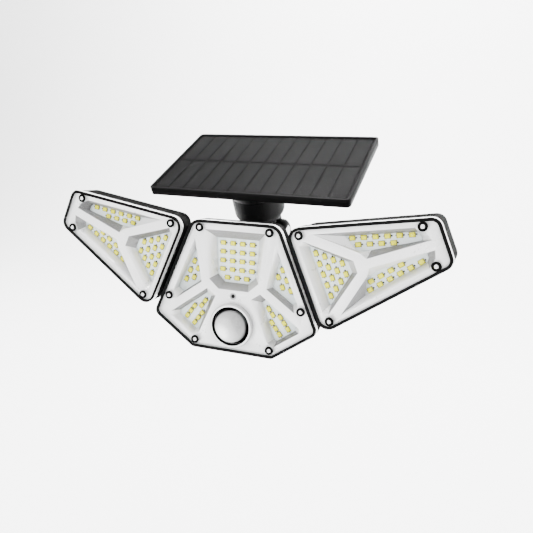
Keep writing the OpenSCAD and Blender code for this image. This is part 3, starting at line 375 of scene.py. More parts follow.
# The milky dome's colour also carries its painted highlight, painted shade and painted black shadow.
MILKY_PAINTED_LIGHT = DomeFinish("Milky dome", (0.9, 0.9, 0.9), "milky_plastic", (0.24, 0.32), bump=0.02, coat=0.2,
                   specular=0.3, middle=(-0.004, 0.0, -0.0121), centre=(0.0, 0.0, -0.0089))
BACKING = Finish("Panel backing", (0.0018, 0.0018, 0.0019), "panel_backing", (0.45, 0.55), tint=0.15,
                 bump=0.05, ior=1.05)
SILICON = Finish("Solar silicon", (0.0035, 0.0035, 0.0036), "solar_cell", (0.3, 0.4), tint=0.08, bump=0.03,
                 patch_scale=90.0, ior=1.05)
FINGER = Finish("Cell fingers", (0.016, 0.016, 0.0165), "solar_cell", ior=1.1, tint=0.1, bump=0.02)
LAMINATE = Finish("Panel laminate", (0.008, 0.008, 0.008), "panel_glass", (0.2, 0.28), alpha=0.08, tint=0.05,
                  bump=0.01, ior=1.12)
CIRCUIT = Finish("Green board", (0.03, 0.14, 0.06), "circuit_board", (0.35, 0.5), tint=0.2,
                 patch_scale=400.0)
SLEEVE = Finish("Cell sleeve", (0.06, 0.16, 0.4), "battery_wrap", (0.25, 0.35), tint=0.08, bump=0.02,
                coat=0.3)

NODE_FINISH: dict[str, Finish] = {
    node: finish
    for finish, nodes in (
        (BLACK_MOULDED, "wall_plate bracket_arm panel_turret panel_neck panel_gland rear_cover "
                        "battery_holder lamp_gland"),
        (STEEL, "arm_screws lamp_tilt_bolt lamp_tilt_nut turret_washer turret_screw panel_tilt_bolt "
                "panel_tilt_nut panel_screws pir_sensor rear_screws hinge_pin_left hinge_pin_right"),
        (BLACK_PANEL, "panel_tray"), (BACKING, "solar_backing"), (SILICON, "solar_cells"),
        (LAMINATE, "solar_cover"), (MILKY_PAINTED_LIGHT, "pir_dome"), (PEARL, "pir_ring"), (MARK, "light_sensor"),
        (BLACK_SEAL_AND_SHADOW, "rear_gasket"), (CIRCUIT, "control_board"), (SLEEVE, "battery_cell"),
        (BUTTON_RUBBER, "mode_button"))
    for node in nodes.split()
}
HEAD_FINISH: dict[str, Finish] = {
    "housing": BLACK_CASE, "gasket": BLACK_SEAL_AND_SHADOW, "reflector": PEARL, "lens": CLEAR, "bezel": TRIM,
    "led_board": BOARD, "leds": CASE, "screws": BRIGHT_SCREW, "screw_seals": WASHER,
}


# Meshes and pieces


def linked(name: str, data: bpy.types.ID) -> bpy.types.Object:
    """Put a mesh, light or camera in the scene.

    Args:
        name: The object's name.
        data: What it holds.

    Returns:
        The object, at the origin.
    """
    thing = bpy.data.objects.new(name, data)
    bpy.context.scene.collection.objects.link(thing)
    return thing


def wear(thing: bpy.types.Object, finish: Finish) -> None:
    """Give every slot of an object one finish.

    Args:
        thing: The object to dress.
        finish: Its finish.
    """
    made = finish.material()
    slots = thing.data.materials
    if len(slots) == 0:
        slots.append(made)
    for i in range(len(slots)):
        slots[i] = made


def mesh_object(name: str, shape: bmesh.types.BMesh, finish: Finish | None,
                smooth: bool = True) -> bpy.types.Object:
    """Turn a finished shape into an object at the origin.

    Args:
        name: The piece's name.
        shape: Its mesh, which is freed.
        finish: Its finish, or none where it gets another.
        smooth: Whether its faces are shaded smooth.

    Returns:
        The linked object.
    """
    mesh = bpy.data.meshes.new(name)
    shape.to_mesh(mesh)
    shape.free()
    for face in mesh.polygons:
        face.use_smooth = smooth
    thing = linked(name, mesh)
    if finish is not None:
        wear(thing, finish)
    return thing


def enlist(thing: bpy.types.Object, body: str, node: str = "") -> None:
    """Hide the solid that a piece stands for, carry the piece on its body, and report it.

    Args:
        thing: The piece.
        body: The body that carries it.
        node: The solid that it stands for, or nothing.
    """
    if node:
        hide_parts(node)
    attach(thing, body)
    LOG.info("%s: %d faces, rides on %s", thing.name, len(thing.data.polygons), body)


def turned(profile: list[Place], steps: int) -> bmesh.types.BMesh:
    """Turn a profile of radius and depth about the Y axis.

    Args:
        profile: Points as radius and y, in order.
        steps: Faces round the axis.

    Returns:
        The shape with its faces outwards.
    """
    shape = bmesh.new()
    rings: list[list[bmesh.types.BMVert]] = []
    for radius, depth in profile:
        if radius < AXIS_RADIUS:
            rings.append([shape.verts.new((0, depth, 0))])
            continue
        rings.append([shape.verts.new((radius * math.cos(math.tau * k / steps), depth,
                                       radius * math.sin(math.tau * k / steps))) for k in range(steps)])
    for a, b in zip(rings, rings[1:]):
        for k in range(steps):
            j = (k + 1) % steps
            corners = (a[k % len(a)], b[k % len(b)], b[j % len(b)], a[j % len(a)])
            shape.faces.new(tuple(dict.fromkeys(corners)))
    bmesh.ops.recalc_face_normals(shape, faces=shape.faces)
    return shape


def settle(thing: bpy.types.Object) -> None:
    """Apply an object's modifiers into a plain mesh.

    Args:
        thing: The object whose modifiers are applied.
    """
    graph = bpy.context.evaluated_depsgraph_get()
    made = bpy.data.meshes.new_from_object(thing.evaluated_get(graph))
    thing.modifiers.clear()
    thing.data = made


def seat(thing: bpy.types.Object, frame: Matrix) -> None:
    """Move an object's mesh into its frame, and keep its faces outwards.

    Args:
        thing: The object, at the origin.
        frame: Where its own frame stands.
    """
    thing.data.transform(frame)
    if frame.determinant() < 0:
        thing.data.flip_normals()


def softened(node: str, width: float, finish: Finish, body: str) -> bpy.types.Object:
    """A copy of a solid with small rounded edges, which stands for it.

    Args:
        node: The solid's name.
        width: How wide each rounding is, in metres.
        finish: Its finish.
        body: The body on which it rides.

    Returns:
        The rounded piece.
    """
    shape = bmesh.new()
    shape.from_mesh(bpy.data.objects[node].data)
    bmesh.ops.remove_doubles(shape, verts=shape.verts, dist=MERGE)
    bmesh.ops.dissolve_limit(shape, angle_limit=math.radians(FLAT_ANGLE), verts=shape.verts,
                             edges=shape.edges)
    thing = mesh_object(node + "_soft", shape, finish)
    bevel = thing.modifiers.new("Rounding", "BEVEL")
    bevel.width = width
    bevel.segments = SOFT_STEPS
    bevel.limit_method = "ANGLE"
    bevel.angle_limit = math.radians(SOFT_CORNER)
    bevel.harden_normals = True
    bevel.use_clamp_overlap = True
    settle(thing)
    enlist(thing, body, node)
    return thing


class Copies:
    """A geometry tree that sets copies of one shape on a set of places."""

    @staticmethod
    @cache
    def tree() -> bpy.types.NodeTree:
        """Build the tree once.

        Returns:
            A tree with Places, Template, Size and Finish inputs, in which nothing is random.
        """
        tree = new_tree("Copies on places", "GeometryNodeTree",
                        {"Places": ("Geometry", None), "Template": ("Object", None), "Size": ("Float", 1.0),
                         "Finish": ("Material", None)}, {"Pieces": "Geometry"})
        begin, end = add(tree, "NodeGroupInput"), add(tree, "NodeGroupOutput")
        info = add(tree, "GeometryNodeObjectInfo", transform_space="ORIGINAL")
        turn = add(tree, "GeometryNodeInputNamedAttribute", {"Name": "turn"}, data_type="FLOAT_VECTOR")
        turning = add(tree, "FunctionNodeEulerToRotation")
        place = add(tree, "GeometryNodeInstanceOnPoints")
        size = add(tree, "ShaderNodeVectorMath", {0: (1, 1, 1)}, operation="SCALE")
        real = add(tree, "GeometryNodeRealizeInstances")
        paint = add(tree, "GeometryNodeSetMaterial")
        wire(tree, (begin, "Template", info, "Object"), (begin, "Places", place, "Points"),
             (info, "Geometry", place, "Instance"), (turn, "Attribute", turning, "Euler"),
             (turning, "Rotation", place, "Rotation"), (begin, "Size", size, "Scale"),
             (size, 0, place, "Scale"), (place, "Instances", real, "Geometry"),
             (real, "Geometry", paint, "Geometry"), (begin, "Finish", paint, "Material"),
             (paint, "Geometry", end, "Pieces"))
        return tree

    @classmethod
    def make(cls, name: str, template: bpy.types.Object, places: list[tuple[Vector, Vector]],
             finish: Finish, size: float = 1.0) -> bpy.types.Object:
        """Set copies of a template on places, as one plain mesh.

        Args:
            name: The new piece's name.
            template: The shape that is repeated.
            places: A position and an Euler turn for each copy.
            finish: The copies' finish.
            size: A scale for each copy.

        Returns:
            The plain mesh object.
        """
        mesh = bpy.data.meshes.new(name)
        mesh.from_pydata([tuple(p) for p, _ in places], [], [])
        turn = mesh.attributes.new("turn", "FLOAT_VECTOR", "POINT")
        for i, (_, euler) in enumerate(places):
            turn.data[i].vector = euler
        thing = linked(name, mesh)
        grow = thing.modifiers.new("Copies", "NODES")
        grow.node_group = cls.tree()
        wanted = {"Template": template, "Size": size, "Finish": finish.material()}
        for item in cls.tree().interface.items_tree:
            if item.item_type == "SOCKET" and item.in_out == "INPUT" and item.name in wanted:
                grow[item.identifier] = wanted[item.name]
        settle(thing)
        left_over = thing.data.attributes.get("turn")
        if left_over is not None:
            thing.data.attributes.remove(left_over)
        return thing


# Sizes that the looks share with the solids


@dataclass(frozen=True)
class Sizes:
    """The light's sizes in millimetres and its stored angles in degrees."""

    head_top_w: float = 54.6
    head_side_w: float = 106.6
    head_low_w: float = 52.4
    head_upper_h: float = 60.8
    head_lower_h: float = 19.3
    head_top_z: float = 53.9
    face_y: float = -120.0
    wing_len: float = 81.6
    wing_inner_w: float = 64.2
    wing_outer_w: float = 25.6
    wing_drop: float = 1.0
    wing_level_share: float = 0.4
    wing_gap: float = 3.8
    wing_mid: float = 35.0
    hinge_depth: float = 15.0
    right_angle: float = -6.5
    left_angle: float = 2.0
    reflector_y: float = 1.2
    floor_y: float = 6.6
    board_y: float = 7.45
    chip_h: float = 0.8
    chip_l: float = 3.5
    chip_w: float = 2.8
    washer_y: float = -0.5
    turret_y: float = -66.8
    neck_bolt_z: float = 43.3
    neck_h: float = 35.9
    neck_shift: float = 18.6
    panel_w: float = 134.0
    panel_d: float = 77.0
    panel_t: float = 5.2
    panel_tilt: float = 29.2
    panel_yaw: float = -3.8
    cell_cols: int = 12

    @property
    def head_h(self) -> float:
        """Full height of the head."""
        return self.head_upper_h + self.head_lower_h

    @property
    def slant(self) -> float:
        """Angle of the head's slanted edge, in radians."""
        return math.atan2((self.head_side_w - self.head_top_w) / 2, self.head_upper_h)

    @property
    def wing_slope(self) -> float:
        """Angle between a wing's middle line and its long edge, in radians."""
        return math.atan2((self.wing_inner_w - self.wing_outer_w) / 2, self.wing_len)

    @property
    def wing_lean(self) -> float:
        """Angle by which a wing's middle line hangs down, in radians."""
        return math.atan2(self.wing_drop, self.wing_len)

    def head_half(self, share: float) -> float:
        """Half of the head's width at a share of its height from the top."""
        down = share * self.head_h
        if down < self.head_upper_h:
            return (self.head_top_w + (self.head_side_w - self.head_top_w) * down / self.head_upper_h) / 2
        below = (down - self.head_upper_h) / self.head_lower_h
        return (self.head_side_w + (self.head_low_w - self.head_side_w) * below) / 2

    def edge_place(self, share: Place) -> Place:
        """A place on the head's face from shares of its half width there and of its height."""
        return share[0] * self.head_half(share[1]), self.head_top_z - share[1] * self.head_h

    def top_place(self, share: Place) -> Place:
        """A place on the head's face from shares of half its top edge and of its height."""
        return share[0] * self.head_top_w / 2, self.head_top_z - share[1] * self.head_h

    def head_place(self, share: Place) -> Place:
        """A place on the head's face from shares of half its greatest width and of its height."""
        return share[0] * self.head_side_w / 2, self.head_top_z - share[1] * self.head_h

    def wing_middle(self, share: float) -> float:
        """Height of a wing's middle line at a share of its length."""
        return self.wing_drop * (self.wing_level_share - share)

    def wing_place(self, share: Place) -> Place:
        """A place on a wing's face from shares of its length and of its half width there."""
        half = (self.wing_inner_w - (self.wing_inner_w - self.wing_outer_w) * share[0]) / 2
        return self.wing_gap / 2 + share[0] * self.wing_len, self.wing_middle(share[0]) + share[1] * half

    def wing_chip_place(self, share: Place) -> Place:
        """A place on a wing's face from shares of its length and of half its hinge side."""
        return (self.wing_gap / 2 + share[0] * self.wing_len,
                self.wing_middle(share[0]) + share[1] * self.wing_inner_w / 2)

    def head_frame(self) -> Matrix:
        """The head's frame, its face at y = 0."""
        return Matrix.Translation((0, self.face_y * MM, 0))

    def wing_frame(self, side: Side) -> Matrix:
        """A wing's frame beside its hinge, its face at y = 0.

        Args:
            side: The wing.

        Returns:
            The frame, mirrored for the left wing.
        """
        along = Vector((math.sin(self.slant), 0, -math.cos(self.slant)))
        out = Vector((math.cos(self.slant), 0, math.sin(self.slant)))
        corner = Vector((self.head_top_w / 2, 0, self.head_top_z))
        hinge = corner + along * self.wing_mid + out * self.wing_gap / 2
        hinge.y = self.face_y + self.hinge_depth
        angle = self.left_angle if side is Side.LEFT else self.right_angle
        frame = (Matrix.Translation(hinge * MM) @ Matrix.Rotation(-self.slant, 4, "Y")
                 @ Matrix.Rotation(math.radians(angle), 4, "Z")
                 @ Matrix.Translation((0, -self.hinge_depth * MM, 0)))
        if side is Side.LEFT:
            frame = Matrix.Scale(-1, 4, (1, 0, 0)) @ frame
        return frame

    def panel_frame(self) -> Matrix:
        """The panel's frame about the neck's bolt."""
        return (Matrix.Translation((0, self.turret_y * MM, self.neck_bolt_z * MM))
                @ Matrix.Rotation(math.radians(self.panel_yaw), 4, "Z")
                @ Matrix.Rotation(math.radians(self.panel_tilt), 4, "X"))


SIZES = Sizes()


@dataclass
class Templates:
    """Shapes that are repeated over the light, in metres, removed once they have been used."""

    case_bevel: float = 0.00012
    window_half: Place = (0.0013, 0.0012)
    window_corner: float = 0.0003
    window_steps: int = 3
    window_rings: tuple[Place, ...] = ((1.0, 0.00008), (1.0, -0.00006), (0.8, -0.00014), (0.45, -0.00018))
    marks: tuple[Triple, ...] = ((0.00215, 0.00048, 0.0007), (-0.0021, 0.0003, 0.0004))
    mark_taper: float = 0.8
    mark_sides: int = 10
    screw_head: float = 0.00112
    screw_tall: float = 0.0008
    screw_shank: Place = (0.0011, 0.0107)
    screw_pit: Triple = (0.00022, 0.0003, 0.00035)
    screw_lip: float = 0.98
    screw_dome: float = 78.0
    screw_steps: int = 7
    screw_sides: int = 24
    recess: Triple = (0.001, 0.0005, 0.00022)
    made: list[bpy.types.Object] = field(default_factory=list)

    def keep(self, thing: bpy.types.Object) -> bpy.types.Object:
        """Remember a template so that it can be removed."""
        self.made.append(thing)
        return thing

    def chip_case(self) -> bpy.types.Object:
        """The case of one LED chip, with bevelled edges."""
        length, width, height = SIZES.chip_l * MM, SIZES.chip_w * MM, SIZES.chip_h * MM
        shape = bmesh.new()
        bmesh.ops.create_cube(shape, size=1.0)
        bmesh.ops.scale(shape, vec=(length, height, width), verts=shape.verts)
        bmesh.ops.bevel(shape, geom=shape.edges[:], offset=self.case_bevel, segments=1, affect="EDGES")
        bmesh.ops.translate(shape, vec=(0, -height / 2, 0), verts=shape.verts)
        return self.keep(mesh_object("chip_case_template", shape, CASE, smooth=False))

    def chip_window(self) -> bpy.types.Object:
        """The yellow window of one LED chip, a slightly domed rounded rectangle."""
        (half_x, half_z), corner, steps = self.window_half, self.window_corner, self.window_steps
        shape = bmesh.new()
        outline: list[Place] = []
        for cx, cz, start in ((1, 1, 0), (-1, 1, 90), (-1, -1, 180), (1, -1, 270)):
            for k in range(steps + 1):
                angle = math.radians(start + 90 * k / steps)
                outline.append((cx * (half_x - corner) + corner * math.cos(angle),
                                cz * (half_z - corner) + corner * math.sin(angle)))
        top = -SIZES.chip_h * MM
        rings = [[shape.verts.new((x * share, top + depth, z * share)) for x, z in outline]
                 for share, depth in self.window_rings]
        count = len(outline)
        for a, b in zip(rings, rings[1:]):
            for k in range(count):
                j = (k + 1) % count
                shape.faces.new((a[k], a[j], b[j], b[k]))
        shape.faces.new(rings[0])
        shape.faces.new(rings[-1])
        bmesh.ops.recalc_face_normals(shape, faces=shape.faces)
        return self.keep(mesh_object("chip_window_template", shape, PHOSPHOR))

    def board_mark(self) -> bpy.types.Object:
        """The small dark parts at both ends of a chip, the right one larger."""
        shape = bmesh.new()
        for x, radius, tall in self.marks:
            turn = Matrix.Translation((x, -tall / 2, 0)) @ Matrix.Rotation(math.pi / 2, 4, "X")
            bmesh.ops.create_cone(shape, cap_ends=True, segments=self.mark_sides, radius1=radius,
                                  radius2=radius * self.mark_taper, depth=tall, matrix=turn)
        return self.keep(mesh_object("board_mark_template", shape, MARK, smooth=False))

    def screw(self) -> bpy.types.Object:
        """A domed face screw with a cross recess and its shank."""
        tall, (shank, length), (bottom, lip, deep) = self.screw_tall, self.screw_shank, self.screw_pit
        profile = [(0.0, -deep), (bottom, -deep), (lip, -tall * self.screw_lip)]
        for k in range(self.screw_steps + 1):
            angle = math.radians(self.screw_dome - self.screw_dome * k / self.screw_steps)
            profile.append((self.screw_head * math.cos(angle), -tall * math.sin(angle)))
        shape = turned(profile + [(shank, 0.0), (shank, length), (0.0, length)], self.screw_sides)
        slots = bmesh.new()
        for turn in (0, 90):
            made = bmesh.ops.create_cube(slots, size=1.0)["verts"]
            bmesh.ops.scale(slots, vec=self.recess, verts=made)
            bmesh.ops.rotate(slots, cent=(0, 0, 0), matrix=Matrix.Rotation(math.radians(turn), 3, "Y"),
                             verts=made)
            bmesh.ops.translate(slots, vec=(0, -tall, 0), verts=made)
        screw = mesh_object("screw_template", shape, BRIGHT_SCREW)
        cutter = mesh_object("screw_cutter", slots, BRIGHT_SCREW)
        cut = screw.modifiers.new("Recess", "BOOLEAN")
        cut.operation = "DIFFERENCE"
        cut.solver = "EXACT"
        cut.use_self = True
        cut.object = cutter
        settle(screw)
        bpy.data.objects.remove(cutter)
        return self.keep(screw)

    def clear(self) -> None:
        """Remove the templates from the scene."""
        for thing in self.made:
            bpy.data.objects.remove(thing)
        self.made.clear()


Wall = tuple[Place, Place, Place, Place]


@dataclass(frozen=True)
class Pocket:
    """One pocket of a reflector: its outlines as shares, and which of its walls get painted shade."""

    rim: tuple[Place, ...]
    floor: tuple[Place, ...]
    shades: dict[int, Shade]
    flip: Place = (1.0, 1.0)

    def walls(self, place: Callable[[Place], Place]) -> list[tuple[Wall, Shade | None]]:
        """The walls, each as two rim corners and two floor corners.

        Args:
            place: Turns a share into a place on the face, in millimetres.

        Returns:
            The walls, each with its painted shade, or none where a wall is as bright as the plate.
        """
        flip_x, flip_y = self.flip
        rim, floor = ([place((x * flip_x, y * flip_y)) for x, y in outline]
                      for outline in (self.rim, self.floor))
        count = len(rim)
        return [((rim[i], rim[(i + 1) % count], floor[i], floor[(i + 1) % count]), self.shades.get(i))
                for i in range(count)]


def off_wall(wall: Wall, spot: Vector) -> float:
    """How far a place is from a sloped wall, measured across the face.

    Args:
        wall: The wall's rim corners and floor corners.
        spot: The place in the head's frame, in millimetres.

    Returns:
        The distance in millimetres, or infinity above or below the wall.
    """
    top_share, foot_share = 0.02, 0.99
    down = (spot.y - SIZES.reflector_y) / (SIZES.floor_y - SIZES.reflector_y)
    if not top_share < down < foot_share:
        return math.inf
    here = Vector((spot.x, spot.z))
    a, b, c, d = (Vector(corner) for corner in wall)
    start, end = a.lerp(c, down), b.lerp(d, down)
    run = end - start
    along = max(0.0, min(1.0, (here - start).dot(run) / run.length_squared))
    return (here - start - run * along).length


@dataclass
class FaceHead:
    """One of the three lit heads: its finishes, chips and screws, in millimetres."""

    name: str
    body: str
    frame: Matrix
    chips: list[tuple[Place, float]]
    screws: list[Place]
    walls: list[tuple[Wall, Shade | None]]
    rounding: float = 0.3
    wall_reach: float = 1.6
    # How far the black rim is widened inwards: partly seal, partly painted shadow along the face's edge.
    rim_and_shadow_extra: float = 0.5
    side_share: float = 0.6
    front_depth: float = 0.2
    front_lift: float = 0.06
    screw_turn: Place = (0.35, 1.9)

    def piece(self, part: str) -> str:
        """The full name of one of this head's pieces."""
        return f"{self.name}_{part}"

    def dress(self) -> None:
        """Round this head's moulded pieces and give each its finish."""
        for part, finish in HEAD_FINISH.items():
            wear(bpy.data.objects[self.piece(part)], finish)
        edge = self.rounding * MM / 2
        softened(self.piece("bezel"), edge, TRIM, self.body)
        self.widen(softened(self.piece("gasket"), edge, BLACK_SEAL_AND_SHADOW, self.body))
        softened(self.piece("housing"), edge, BLACK_CASE, self.body)
        self.shade(softened(self.piece("reflector"), self.rounding * MM, PEARL, self.body))

    def widen(self, rim: bpy.types.Object) -> None:
        """Let the black rim reach a little way in over the clear front; this extra black is partly seal and
        partly painted shadow along the face's edge.

        Args:
            rim: The rounded seal.
        """
        shape = bmesh.new()
        shape.from_mesh(rim.data)
        shape.transform(self.frame.inverted())
        middle = sum((v.co for v in shape.verts), Vector()) / len(shape.verts)
        moves: dict[bmesh.types.BMVert, Vector] = {}
        for vert in shape.verts:
            inward = Vector()
            for face in vert.link_faces:
                flat = Vector((face.normal.x, 0, face.normal.z))
                if flat.length > self.side_share and flat.dot(middle - vert.co) > 0:
                    inward += flat.normalized()
            if inward.length > 0 and vert.co.y < SIZES.reflector_y * MM:
                moves[vert] = inward.normalized() * self.rim_and_shadow_extra * MM
        for vert, move in moves.items():
            vert.co += move
        for vert in shape.verts:
            if vert.co.y < self.front_depth * MM:
                vert.co.y -= self.front_lift * MM
        shape.transform(self.frame)
        shape.to_mesh(rim.data)
        shape.free()
        LOG.info("%s widened at %d corners", rim.name, len(moves))

    def shade(self, plate: bpy.types.Object) -> None:
        """Paint shade on the pockets' steep walls, as darker silver faces chosen wall by wall.

        Args:
            plate: The rounded reflector.
        """
        index = {}
        for shade, finish in PAINTED_SHADES.items():
            plate.data.materials.append(finish.material())
            index[shade] = len(plate.data.materials) - 1
        back = self.frame.inverted()
        count = 0
        for face in plate.data.polygons:
            spot = (back @ face.center) / MM
            wall, shade = min(self.walls, key=lambda item: off_wall(item[0], spot))
            if shade is not None and off_wall(wall, spot) < self.wall_reach:
                face.material_index = index[shade]
                count += 1
        LOG.info("%s: %d shaded faces", plate.name, count)

    def fill(self, templates: dict[str, bpy.types.Object]) -> None:
        """Set the chips, their windows and marks, and the screws.

        Args:
            templates: The shapes that are repeated, by name.
        """
        first, step = self.screw_turn
        places = [(Vector((x * MM, SIZES.board_y * MM, z * MM)), Vector((0, -turn, 0)))
                  for (x, z), turn in self.chips]
        heads = [(Vector((x * MM, SIZES.washer_y * MM, z * MM)), Vector((0, first + step * i, 0)))
                 for i, (x, z) in enumerate(self.screws)]
        for template, name, finish, node, spots in (
                ("case", "chip_cases", CASE, "leds", places),
                ("window", "chip_windows", PHOSPHOR, "", places), ("mark", "board_marks", MARK, "", places),
                ("screw", "face_screws", BRIGHT_SCREW, "screws", heads)):
            made = Copies.make(self.piece(name), templates[template], spots, finish)
            seat(made, self.frame)
            enlist(made, self.body, node and self.piece(node))


# Pocket outlines as shares of the face; each pocket lists the walls that get painted shade.
TOP_POCKET = Pocket(((0.715, 0.07), (-0.715, 0.07), (-0.586, 0.444), (-0.353, 0.515), (0.353, 0.515),
                     (0.586, 0.444)),
                    ((0.502, 0.134), (-0.502, 0.134), (-0.451, 0.414), (-0.283, 0.471), (0.283, 0.471),
                     (0.451, 0.414)),
                    {0: Shade.GREY, 2: Shade.GREY, 3: Shade.GREY, 4: Shade.SOFT})
SIDE_RIM = ((0.792, 0.146), (0.479, 0.476), (0.785, 0.629), (0.865, 0.574))
SIDE_FLOOR = ((0.774, 0.236), (0.53, 0.472), (0.763, 0.588), (0.846, 0.555))
LOW_RIM = ((0.38, 0.519), (0.244, 0.57), (0.578, 0.885), (0.734, 0.91), (0.815, 0.776), (0.795, 0.741))
LOW_FLOOR = ((0.41, 0.57), (0.356, 0.596), (0.611, 0.869), (0.683, 0.881), (0.749, 0.779), (0.725, 0.742))
MIRRORED = (-1.0, 1.0)
SIDE_POCKETS = (
    Pocket(SIDE_RIM, SIDE_FLOOR, {1: Shade.GREY}),
    Pocket(SIDE_RIM, SIDE_FLOOR, {0: Shade.GREY, 1: Shade.DEEP}, MIRRORED),
    Pocket(LOW_RIM, LOW_FLOOR, {0: Shade.GREY, 2: Shade.SOFT, 3: Shade.DEEP, 5: Shade.GREY}),
    Pocket(LOW_RIM, LOW_FLOOR, {1: Shade.GREY, 5: Shade.GREY}, MIRRORED),
)
INNER_RIM = ((0.095, 0.728), (0.058, 0.646), (0.058, -0.646), (0.095, -0.728), (0.394, -0.14), (0.394, 0.14))
INNER_FLOOR = ((0.11, 0.599), (0.099, 0.585), (0.099, -0.585), (0.11, -0.599), (0.335, -0.125),
               (0.335, 0.125))
LONG_RIM = ((0.182, 0.834), (0.448, 0.283), (0.483, 0.11), (0.913, 0.181), (0.897, 0.473), (0.842, 0.696))
LONG_FLOOR = ((0.372, 0.695), (0.416, 0.334), (0.511, 0.259), (0.847, 0.203), (0.846, 0.407), (0.832, 0.514))
LOWER = (1.0, -1.0)
LOWER_POCKET = Pocket(LONG_RIM, LONG_FLOOR, {0: Shade.GREY, 3: Shade.GREY, 4: Shade.GREY}, LOWER)
WING_POCKETS: dict[Side, tuple[Pocket, ...]] = {
    Side.RIGHT: (Pocket(INNER_RIM, INNER_FLOOR, {3: Shade.GREY, 4: Shade.SOFT, 5: Shade.GREY}),
                 Pocket(LONG_RIM, LONG_FLOOR, {2: Shade.GREY, 5: Shade.GREY}), LOWER_POCKET),
    Side.LEFT: (Pocket(INNER_RIM, INNER_FLOOR, {4: Shade.GREY, 5: Shade.DEEP}),
                Pocket(LONG_RIM, LONG_FLOOR, {2: Shade.GREY, 3: Shade.DEEP, 4: Shade.DEEP, 5: Shade.GREY}),
                LOWER_POCKET),
}
TOP_CHIPS, TOP_CHIP_STEP, TOP_CHIP_COUNT = (-0.3456, 0.172), (0.2304, 0.067), 4
LAST_CHIPS, LAST_CHIP_COUNT = (-0.2304, 0.436), 3
CHIP_ROWS = ((((0.538, 0.337), (0.491, 0.392)), (3, 2), (0.052, 0.074)),
             (((0.533, 0.696), (0.395, 0.643), (0.437, 0.746)), (3, 2, 3), (0.047, 0.042)))
HEAD_SCREWS = ((0.752, 0.058), (0.885, 0.608), (0.728, 0.935))
WING_SCREWS = ((0.091, 0.842), (0.89, 0.711))
INNER_CHIP_ROWS, INNER_CHIP_STEP = ((0.131, 5), (0.184, 4), (0.236, 3), (0.289, 2)), 0.2
LONG_CHIP_ROWS, LONG_CHIP_STEP = ((0.415, 0.467, 6), (0.439, 0.331, 4)), (0.076, 0.0465)


